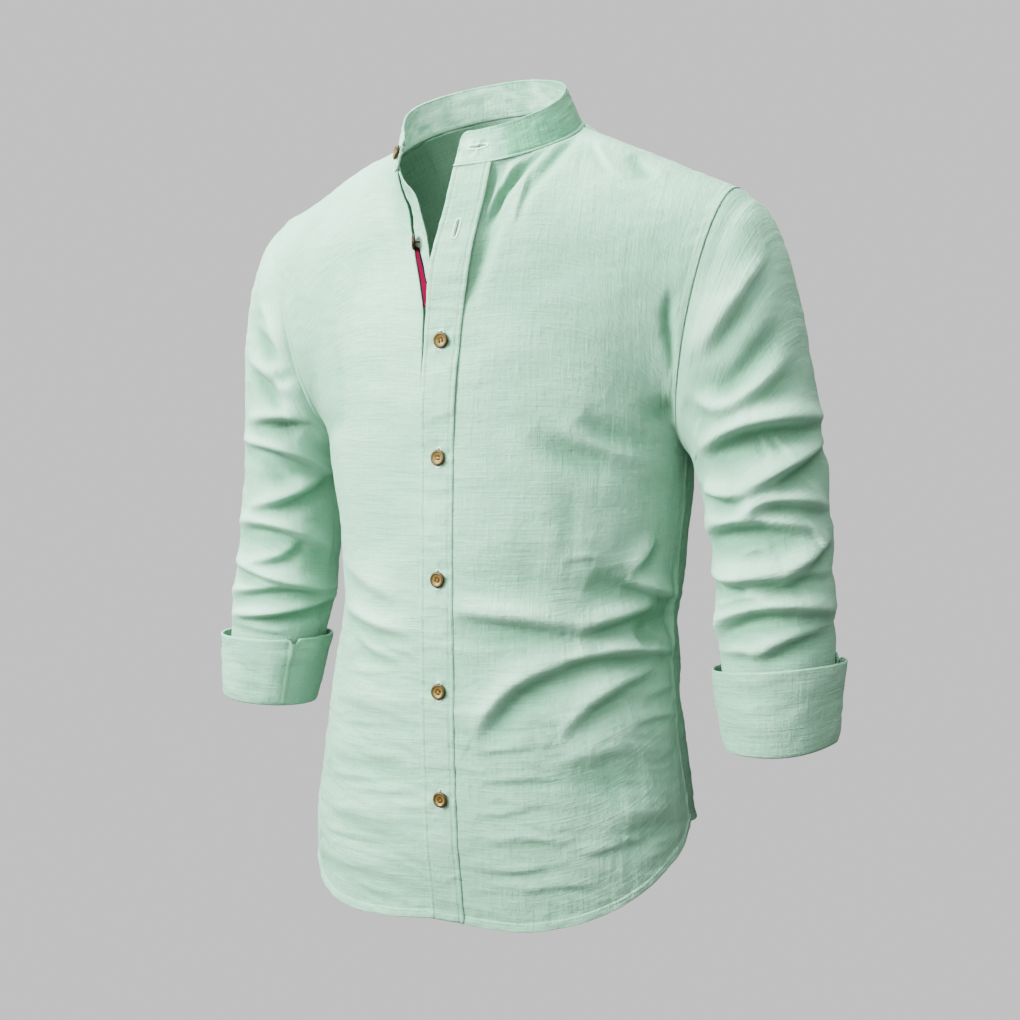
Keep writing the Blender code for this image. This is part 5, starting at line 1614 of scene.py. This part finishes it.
def set_button(name, number, shape, place, gap, wood, thread):
    """One button in a solid's place, a gap above the cloth, with its threads."""
    point, outward = place
    outward = np.array(Vector(outward).normalized())
    first, step = BUTTON_TURN
    matrix = button_place(np.array(point) + outward * gap, outward, first + step * number)
    mesh = shape.copy()
    mesh.transform(matrix)
    button = dress(name + "_wood", mesh, wood)
    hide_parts(name)
    threads = joined_mesh(name + "_wood_thread", button_threads(gap))
    threads.transform(matrix)
    dress(name + "_wood_thread", threads, thread)


def new_material(name):
    """A material with only its shader, and the shader and its tree."""
    material = bpy.data.materials.new(name)
    material.use_nodes = True
    tree = material.node_tree
    return material, tree, tree.nodes["Principled BSDF"]


def add_node(tree, kind, settings=None, **inputs):
    """A node with its settings and the values of its inputs; underscores in input names stand for spaces."""
    made = tree.nodes.new(kind)
    for key, value in (settings or {}).items():
        setattr(made, key, value)
    set_inputs(made, **inputs)
    return made


def set_inputs(node, **inputs):
    """Give inputs of a node their values; underscores in their names stand for spaces."""
    for key, value in inputs.items():
        node.inputs[key.replace("_", " ")].default_value = value


def link(tree, pairs):
    """Join outputs to inputs."""
    for source, target in pairs:
        tree.links.new(source, target)


def feed(tree, value, socket):
    """Join a socket to an input, or give the input a value."""
    if isinstance(value, bpy.types.NodeSocket):
        tree.links.new(value, socket)
    elif value is not None:
        socket.default_value = value


def roughen(tree, height, shader, strength, distance):
    """Show a height as small relief on a material."""
    bump = add_node(tree, "ShaderNodeBump", Strength=strength, Distance=distance)
    link(tree, ((height, bump.inputs["Height"]), (bump.outputs["Normal"], shader.inputs["Normal"])))


def arithmetic(tree, operation, first, second=None, third=None):
    """A maths node over sockets or numbers, and its result."""
    made = add_node(tree, "ShaderNodeMath", {"operation": operation})
    for socket, value in zip(made.inputs, (first, second, third)):
        feed(tree, value, socket)
    return made.outputs["Value"]


def ripple(tree, value, factor):
    """The sine of a value times a factor."""
    return arithmetic(tree, "SINE", arithmetic(tree, "MULTIPLY", value, factor))


def noise_at(tree, place, **inputs):
    """Noise at a place."""
    noise = add_node(tree, "ShaderNodeTexNoise", **inputs)
    tree.links.new(place, noise.inputs["Vector"])
    return noise.outputs["Fac"]


def stretched_noise(tree, place, scale_across, scale_up, detail=2.0, roughness=0.5):
    """Noise drawn out along the cloth: its scales are grains for each metre across and up."""
    stretch = add_node(tree, "ShaderNodeVectorMath", {"operation": "MULTIPLY"})
    stretch.inputs[1].default_value = (scale_across, scale_up, 1.0)
    tree.links.new(place, stretch.inputs[0])
    return noise_at(tree, stretch.outputs["Vector"], Scale=1.0, Detail=detail, Roughness=roughness)


def colour_blend(tree, factor, low, high):
    """A colour between two, which may be sockets or colours."""
    made = add_node(tree, "ShaderNodeMix", {"data_type": "RGBA"})
    for socket, value in zip((made.inputs[0], *live(made.inputs, "RGBA")), (factor, low, high)):
        feed(tree, value, socket)
    return live(made.outputs, "RGBA")[0]


def linen_group():
    """Slub linen: plain weave, thick and thin threads both ways, crepe, fading on ridges and painted shade in
    the troughs of the folds.
    """
    tree = bpy.data.node_groups.new("slub linen", "ShaderNodeTree")
    for name, way, kind in (
        ("Place", "INPUT", "Vector"),
        ("Wear and Shade", "INPUT", "Float"),
        ("Colour", "OUTPUT", "Color"),
        ("Relief", "OUTPUT", "Float"),
        ("Dullness", "OUTPUT", "Float"),
    ):
        tree.interface.new_socket(name, in_out=way, socket_type="NodeSocket" + kind)
    given = tree.nodes.new("NodeGroupInput").outputs
    result = tree.nodes.new("NodeGroupOutput").inputs
    place = given["Place"]

    split = tree.nodes.new("ShaderNodeSeparateXYZ")
    tree.links.new(place, split.inputs["Vector"])
    warp, weft = (ripple(tree, split.outputs[way], THREADS_PER_METRE) for way in "XY")
    weave = arithmetic(tree, "MULTIPLY", warp, weft)
    weft_slub, warp_slub = (stretched_noise(tree, place, *scales) for scales in (SLUBS, SLUBS[::-1]))
    thick_weft, thick_warp = (
        arithmetic(tree, "POWER", stretched_noise(tree, place, *scales), 3.0)
        for scales in (THICK_THREADS, THICK_THREADS[::-1])
    )
    crepe, patches = (stretched_noise(tree, place, *scales) for scales in (CREPE, PATCHES))

    relief = arithmetic(tree, "MULTIPLY_ADD", weave, 0.10, crepe)
    for slub, share in ((weft_slub, 0.55), (warp_slub, 0.45), (thick_weft, 1.1), (thick_warp, 0.9)):
        relief = arithmetic(tree, "MULTIPLY_ADD", slub, share, relief)
    # the wear input lightens the ridges as wear and darkens the troughs as painted shade
    tone = arithmetic(tree, "MULTIPLY_ADD", given["Wear and Shade"], 0.55, 0.0)
    for part, share in ((weft_slub, 0.32), (warp_slub, 0.20), (crepe, 0.18), (patches, 0.30), (weave, 0.03)):
        tone = arithmetic(tree, "MULTIPLY_ADD", part, share, tone)
    tone = arithmetic(tree, "SUBTRACT", tone, 0.28)
    link(tree, (
        (colour_blend(tree, tone, LINEN_DEEP, LINEN_PALE), result["Colour"]),
        (relief, result["Relief"]),
        (arithmetic(tree, "MULTIPLY_ADD", crepe, 0.12, 0.74), result["Dullness"]),
    ))
    return tree


def linen_material():
    """The shirt's cloth."""
    material, tree, shader = new_material("mint_slub_linen")
    linen = add_node(tree, "ShaderNodeGroup", {"node_tree": linen_group()})
    wear_and_shade = add_node(tree, "ShaderNodeAttribute", {"attribute_name": "wear_and_shade"})
    link(tree, (
        (on_map(tree), linen.inputs["Place"]),
        (wear_and_shade.outputs["Fac"], linen.inputs["Wear and Shade"]),
        (linen.outputs["Colour"], shader.inputs["Base Color"]),
        (linen.outputs["Dullness"], shader.inputs["Roughness"]),
    ))
    roughen(tree, linen.outputs["Relief"], shader, 0.75, 0.0008)
    set_inputs(shader, Specular_IOR_Level=0.25, Sheen_Weight=0.22, Sheen_Roughness=0.45,
               Sheen_Tint=(0.86, 1.0, 0.93, 1.0))
    return material


def on_map(tree):
    """The place on the cloth, in metres."""
    return add_node(tree, "ShaderNodeUVMap", {"uv_map": "cloth"}).outputs["UV"]


def thread_material(name, low, high):
    """Spun sewing thread: its colour varies from stitch to stitch, and its twist shows as fine ridges."""
    material, tree, shader = new_material(name)
    place = tree.nodes.new("ShaderNodeTexCoord").outputs["Object"]
    colour = colour_blend(tree, noise_at(tree, place, Scale=420.0, Detail=2.0), low, high)
    tree.links.new(colour, shader.inputs["Base Color"])
    roughen(tree, noise_at(tree, place, Scale=2600.0, Detail=1.0), shader, 0.4, 0.0001)
    set_inputs(shader, Roughness=0.62, Sheen_Weight=0.15)
    return material


def tape_material():
    """Twill tape: crimson ground with navy edges and diagonal ribs."""
    material, tree, shader = new_material("twill_tape")
    place = on_map(tree)
    split = tree.nodes.new("ShaderNodeSeparateXYZ")
    tree.links.new(place, split.inputs["Vector"])
    from_middle = arithmetic(tree, "ABSOLUTE", arithmetic(tree, "SUBTRACT", split.outputs["X"], 0.5))
    edge = arithmetic(tree, "GREATER_THAN", from_middle, TAPE_EDGE_PLACE)
    slant = arithmetic(tree, "MULTIPLY_ADD", split.outputs["X"], TAPE_WIDTH, split.outputs["Y"])
    noise = stretched_noise(tree, place, 90.0, 2500.0)
    ground, trim = (colour_blend(tree, noise, *colours) for colours in (TAPE_GROUND, TAPE_EDGE))
    tree.links.new(colour_blend(tree, edge, ground, trim), shader.inputs["Base Color"])
    roughen(tree, ripple(tree, slant, TWILL_PER_METRE), shader, 0.5, 0.0002)
    set_inputs(shader, Roughness=0.8, Specular_IOR_Level=0.15)
    return material


def wood_material(name, low, high):
    """Turned wood or horn: rings and grain, darker towards the rim, with a soft polish."""
    material, tree, shader = new_material(name)
    place = on_map(tree)
    length = add_node(tree, "ShaderNodeVectorMath", {"operation": "LENGTH"})
    tree.links.new(place, length.inputs[0])
    radius = arithmetic(tree, "DIVIDE", length.outputs["Value"], BUTTON_RADIUS)
    grain = stretched_noise(tree, place, 260.0, 1700.0, 4.0, 0.65)
    tone = arithmetic(tree, "MULTIPLY_ADD", ripple(tree, radius, 15.0), 0.34, grain)
    rim = add_node(tree, "ShaderNodeMapRange", From_Min=0.62, From_Max=0.92)
    tree.links.new(radius, rim.inputs["Value"])
    dark = arithmetic(tree, "MULTIPLY", rim.outputs["Result"], 0.86)
    colour = colour_blend(tree, dark, colour_blend(tree, tone, low, high), WOOD_RIM)
    gloss = add_node(tree, "ShaderNodeMapRange", To_Min=0.28, To_Max=0.48)
    link(tree, (
        (colour, shader.inputs["Base Color"]),
        (grain, gloss.inputs["Value"]),
        (gloss.outputs["Result"], shader.inputs["Roughness"]),
    ))
    roughen(tree, tone, shader, 0.35, 0.0002)
    set_inputs(shader, Coat_Roughness=0.25)
    return material


def backdrop_material():
    """A plain pale sweep that is evenly bright."""
    material, _, shader = new_material("pale_sweep")
    set_inputs(shader, Base_Color=(0.0, 0.0, 0.0, 1.0), Specular_IOR_Level=0.0, Roughness=1.0,
               Emission_Color=(*BACKDROP_COLOUR, 1.0), Emission_Strength=1.0)
    return material


def build_backdrop():
    """A round floor that curves up into a wall, all round the shirt and its lights."""
    bend = np.linspace(0, math.pi / 2, SWEEP_STEPS)
    curve = SWEEP_RADIUS - SWEEP_BEND + SWEEP_BEND * np.sin(bend)
    radii = np.concatenate([[SWEEP_CENTRE], curve, [SWEEP_RADIUS]])
    rise = np.concatenate([[0.0], SWEEP_BEND * (1 - np.cos(bend)), [SWEEP_HEIGHT]])
    turn = np.linspace(0, 2 * math.pi, SWEEP_SEGMENTS, endpoint=False)[:, None]
    grid = np.stack([radii * np.cos(turn), radii * np.sin(turn), FLOOR_HEIGHT + rise + 0 * turn], -1)
    index = numbered(*grid.shape[:2])
    mesh = new_mesh("backdrop", grid, quads(np.concatenate([index, index[:1]])) + [index[::-1, 0].tolist()])
    mesh.shade_smooth()
    mesh.materials.append(backdrop_material())
    backdrop = in_scene("backdrop", mesh)
    backdrop.visible_diffuse = backdrop.visible_glossy = backdrop.visible_shadow = False


def camera_axes():
    """Right, up and backward directions of the photograph's camera."""
    a, e = math.radians(AZIMUTH), math.radians(ELEVATION)
    right = Vector((math.cos(a), math.sin(a), 0.0))
    back = Vector((math.sin(a) * math.cos(e), -math.cos(a) * math.cos(e), math.sin(e)))
    return right, back.cross(right), back


def camera_place():
    """Where the photograph's camera stands."""
    right, _, back = camera_axes()
    return right * TARGET_SIDEWAYS + Vector((0.0, 0.0, TARGET_HEIGHT)) + back * CAMERA_DISTANCE


def build_camera():
    """The camera at the photograph's viewpoint."""
    data = bpy.data.cameras.new("camera")
    data.sensor_width = SENSOR
    data.lens = SENSOR * FOCAL_PIXELS / PHOTO_WIDTH
    camera = in_scene("camera", data)
    camera.matrix_world = Matrix.Translation(camera_place()) @ Matrix(camera_axes()).transposed().to_4x4()
    bpy.context.scene.camera = camera


def add_lamp(name, kind, power, place):
    """A lamp that doesn't show itself, and its data."""
    data = bpy.data.lights.new(name, kind)
    data.energy = power
    lamp = in_scene(name, data)
    lamp.location = place
    lamp.visible_camera = False
    return lamp, data


def build_lights():
    """Broad lights above, in front and behind, a weak fill, two small lamps inside, and an even surround."""
    axes = camera_axes()
    centre = Vector((0.0, 0.0, LIGHT_CENTRE_HEIGHT))
    for name, direction, size, power, colour in LIGHTS:
        away = sum((axis * part for axis, part in zip(axes, direction)), Vector()).normalized()
        lamp, data = add_lamp(name, "AREA", power, centre + away * LIGHT_DISTANCE)
        lamp.rotation_euler = away.to_track_quat("Z", "Y").to_euler()
        data.shape = "DISK"
        data.size = size
        data.color = colour
    for place, size, power in INSIDE_LIGHTS:
        _, data = add_lamp("inside", "POINT", power, place)
        data.shadow_soft_size = size
    world = bpy.data.worlds.new("surround")
    world.use_nodes = True
    set_inputs(world.node_tree.nodes["Background"], Color=(*SURROUND_COLOUR, 1.0), Strength=SURROUND_STRENGTH)
    bpy.context.scene.world = world


def set_tones():
    """The view transform that gives the photograph's tones."""
    view = bpy.context.scene.view_settings
    view.view_transform = VIEW_TRANSFORM
    view.look = VIEW_LOOK
    view.exposure = EXPOSURE
    view.gamma = 1.0


def sewn_cloth(name, node, panel, lines, linen, stitches, thread):
    """A piece of cloth in a solid's place, and the sewing along lines of it."""
    return cloth_wall(name, panel, CLOTH, linen, node), sew(name + "_sewing", lines, stitches, thread)


def join_backs(left, right):
    """The back from its two halves: one column at the centre, and across that runs on past it."""
    backs = []
    for left_half, right_half in zip(left, right):
        right_half = right_half[:, ::-1]
        middle = (left_half[:, :1] + right_half[:, -1:]) / 2
        backs.append(np.concatenate([right_half[:, :-1], middle, left_half[:, 1:]], 1))
    grid, normals, across, wear_and_shade = backs
    across = np.where(across < 0, across + 4 * QUARTER_GIRTH, across)
    across[:, across.shape[1] // 2] = 2 * QUARTER_GIRTH
    return [grid, normals / np.linalg.norm(normals, axis=-1, keepdims=True), across, wear_and_shade]


def build_torso(linen, stitches, thread):
    """Back and fronts, with their hems, side seams and armholes sewn."""
    left, right = torso_half(1), torso_half(-1)
    pieces = {}
    for name, panel, node in (
        ("left_front_cloth", left["front"], "front_left"),
        ("right_front_cloth", right["front"], "front_right"),
        ("back_cloth", join_backs(left["back"], right["back"]), "back"),
    ):
        lines = [inset_line(panel, "bottom", HEM_DEPTH - SEWING_INSET)]
        if node != "back":
            for side, start, end in (
                ("last", 3, LOWER_ROWS),
                ("last", LOWER_ROWS + 4, -2),
                ("top", NECK_COLUMN + 4, -4),
            ):
                lines.append(inset_line(panel, side, SEAM_WIDTH - SEWING_INSET, start, end))
        pieces[name] = sewn_cloth(name, node, panel, lines, linen, stitches, thread)
    return pieces


def build_bands(linen, tape, stitches, thread, satin, shadow):
    """The buttonhole placket, the button band below it, and the contrast tape."""
    placket = front_strip(PLACKET_FREE, PLACKET_SEAM, PLACKET_HEM, PLACKET_LIFT)
    band = front_strip(BAND_SEAM, BAND_FREE, BAND_HEM, -BAND_DROP)
    pieces = {}
    places = ((OPEN_BUTTONHOLE_HEIGHT, FRONT_BUTTON_COLUMNS / 2), *FRONT_BUTTONS)
    holes = [buttonhole(placket, *band_place(placket, *place), upright=True) for place in places]
    for name, panel, node in (
        ("placket_cloth", placket, "buttonhole_placket"),
        ("band_cloth", band, "button_band"),
    ):
        lines = [inset_line(panel, side, BAND_SEWING, 2, -2) for side in ("first", "last")]
        lines.append(inset_line(panel, "bottom", HEM_DEPTH - SEWING_INSET))
        pieces[name] = sewn_cloth(name, node, panel, lines, linen, stitches, thread)
    sew("placket_buttonholes", [border for border, _ in holes], stitches, satin, **SATIN)
    for number, (_, opening) in enumerate(holes):
        slit(f"buttonhole_opening_{number}", opening, shadow)
    ribbon = cloth_wall("tape_cloth", front_tape(band), TAPE_THICKNESS, tape, "contrast_tape")
    pieces["tape_cloth"] = (ribbon, None)
    return pieces, placket, band


def band_place(piece, height, column):
    """The fractional row and column of a front band at a height of its middle and a twelfth of its width."""
    middle = piece[0][:, piece[0].shape[1] // 2, 2]
    row = float(np.interp(height, middle, np.arange(len(middle))))
    return row, BAND_COLUMNS * column / FRONT_BUTTON_COLUMNS


def build_collar(linen, stitches, thread, satin, shadow):
    """The band collar with its edge sewing and its buttonhole."""
    collar = make_collar_grid()
    run = collar[2][0]
    column = float(np.interp(COLLAR_BUTTONHOLE_INSET, run, np.arange(len(run))))
    border, opening = buttonhole(collar, COLLAR_ROWS * COLLAR_BUTTONHOLE_RISE, column, upright=False)
    lines = [inset_line(collar, "top", COLLAR_SEWING, 2, -2), inset_line(collar, "bottom", NECK_SEWING)]
    lines += [inset_line(collar, side, COLLAR_SEWING, 3, -4) for side in ("first", "last")]
    # the collar's inside face is painted paler as painted light
    cloth = cloth_wall("collar_cloth", collar, COLLAR_THICKNESS, linen, "collar_band",
                       inside_painted_share=COLLAR_INSIDE_PAINTED_LIGHT)
    sewing = sew("collar_sewing", lines, stitches, thread)
    sew("collar_buttonhole", [border], stitches, satin, **SATIN)
    slit("collar_buttonhole_opening", opening, shadow)
    return {"collar_cloth": (cloth, sewing)}, collar


def build_arm(side, word, linen, stitches, thread):
    """One sleeve and its turned-back cuff."""
    names = [f"{part}_{word}_cloth" for part in ("sleeve", "cuff")]
    sleeve, cuff = make_sleeve_grid(side, word), make_cuff_grid(side)
    sleeve_cloth = cloth_wall(names[0], sleeve, CLOTH, linen, f"sleeve_{word}", closed=True)
    cuff_cloth = cloth_wall(names[1], cuff, CUFF_THICKNESS, linen, f"cuff_{word}", closed=True)
    round_cuff = [np.concatenate([part, part[:, :1]], 1) for part in cuff[:2]]
    lines = [inset_line(round_cuff, "top", distance) for distance in CUFF_SEWING]
    sewing = sew(names[1] + "_sewing", lines, stitches, thread)
    return {names[0]: (sleeve_cloth, None), names[1]: (cuff_cloth, sewing)}


def build_buttons(placket, band, collar, wood, wood_painted_shade, thread):
    """Five fastened front buttons, the second button on the band, and the collar button."""
    shape = button_shape()
    for number, (height, column) in enumerate(FRONT_BUTTONS, 1):
        place = on_cloth(placket, *band_place(placket, height, column))
        set_button(f"front_button_{number}", number, shape, place, BUTTON_CLEARANCE, wood, thread)
    first = band[0][:, 0, 2]
    row = float(np.interp(CHEST_BUTTON_HEIGHT, first, np.arange(len(first))))
    point, outward = on_cloth(band, row, CHEST_BUTTON_SHARE * BAND_COLUMNS)
    place = (point, outward + CHEST_BUTTON_LEAN)
    # the chest button takes the darker copy of the wood as painted shade
    set_button("chest_button", 6, shape, place, CHEST_BUTTON_SHANK + BAND_DROP, wood_painted_shade, thread)
    run = collar[2][0]
    column = float(np.interp(run[-1] - COLLAR_BUTTON_INSET, run, np.arange(len(run))))
    place = on_cloth(collar, COLLAR_ROWS * COLLAR_BUTTON_RISE, column)
    set_button("collar_button", 7, shape, place, BUTTON_CLEARANCE, wood, thread)


def main():
    build_camera()
    build_backdrop()
    build_lights()
    set_tones()
    linen = linen_material()
    thread = thread_material("linen_thread", *LINEN_THREAD)
    satin = thread_material("buttonhole_thread", *SATIN_THREAD)
    # the buttonhole openings take a thread material in a dark colour that paints their shadow
    shadow = thread_material("opening_shadow", *OPENING_SHADOW)
    brown = thread_material("button_thread", *BUTTON_THREAD)
    stitches = stitch_tree()
    pieces = build_torso(linen, stitches, thread)
    bands, placket, band = build_bands(linen, tape_material(), stitches, thread, satin, shadow)
    collars, collar = build_collar(linen, stitches, thread, satin, shadow)
    pieces.update(bands)
    pieces.update(collars)
    for side, word in ((1, "left"), (-1, "right")):
        pieces.update(build_arm(side, word, linen, stitches, thread))
    wood = wood_material("turned_wood", *WOOD)
    # the shaded copy of the wood is painted shade
    wood_painted_shade = wood_material("shaded_wood", *WOOD_PAINTED_SHADE)
    build_buttons(placket, band, collar, wood, wood_painted_shade, brown)


main()
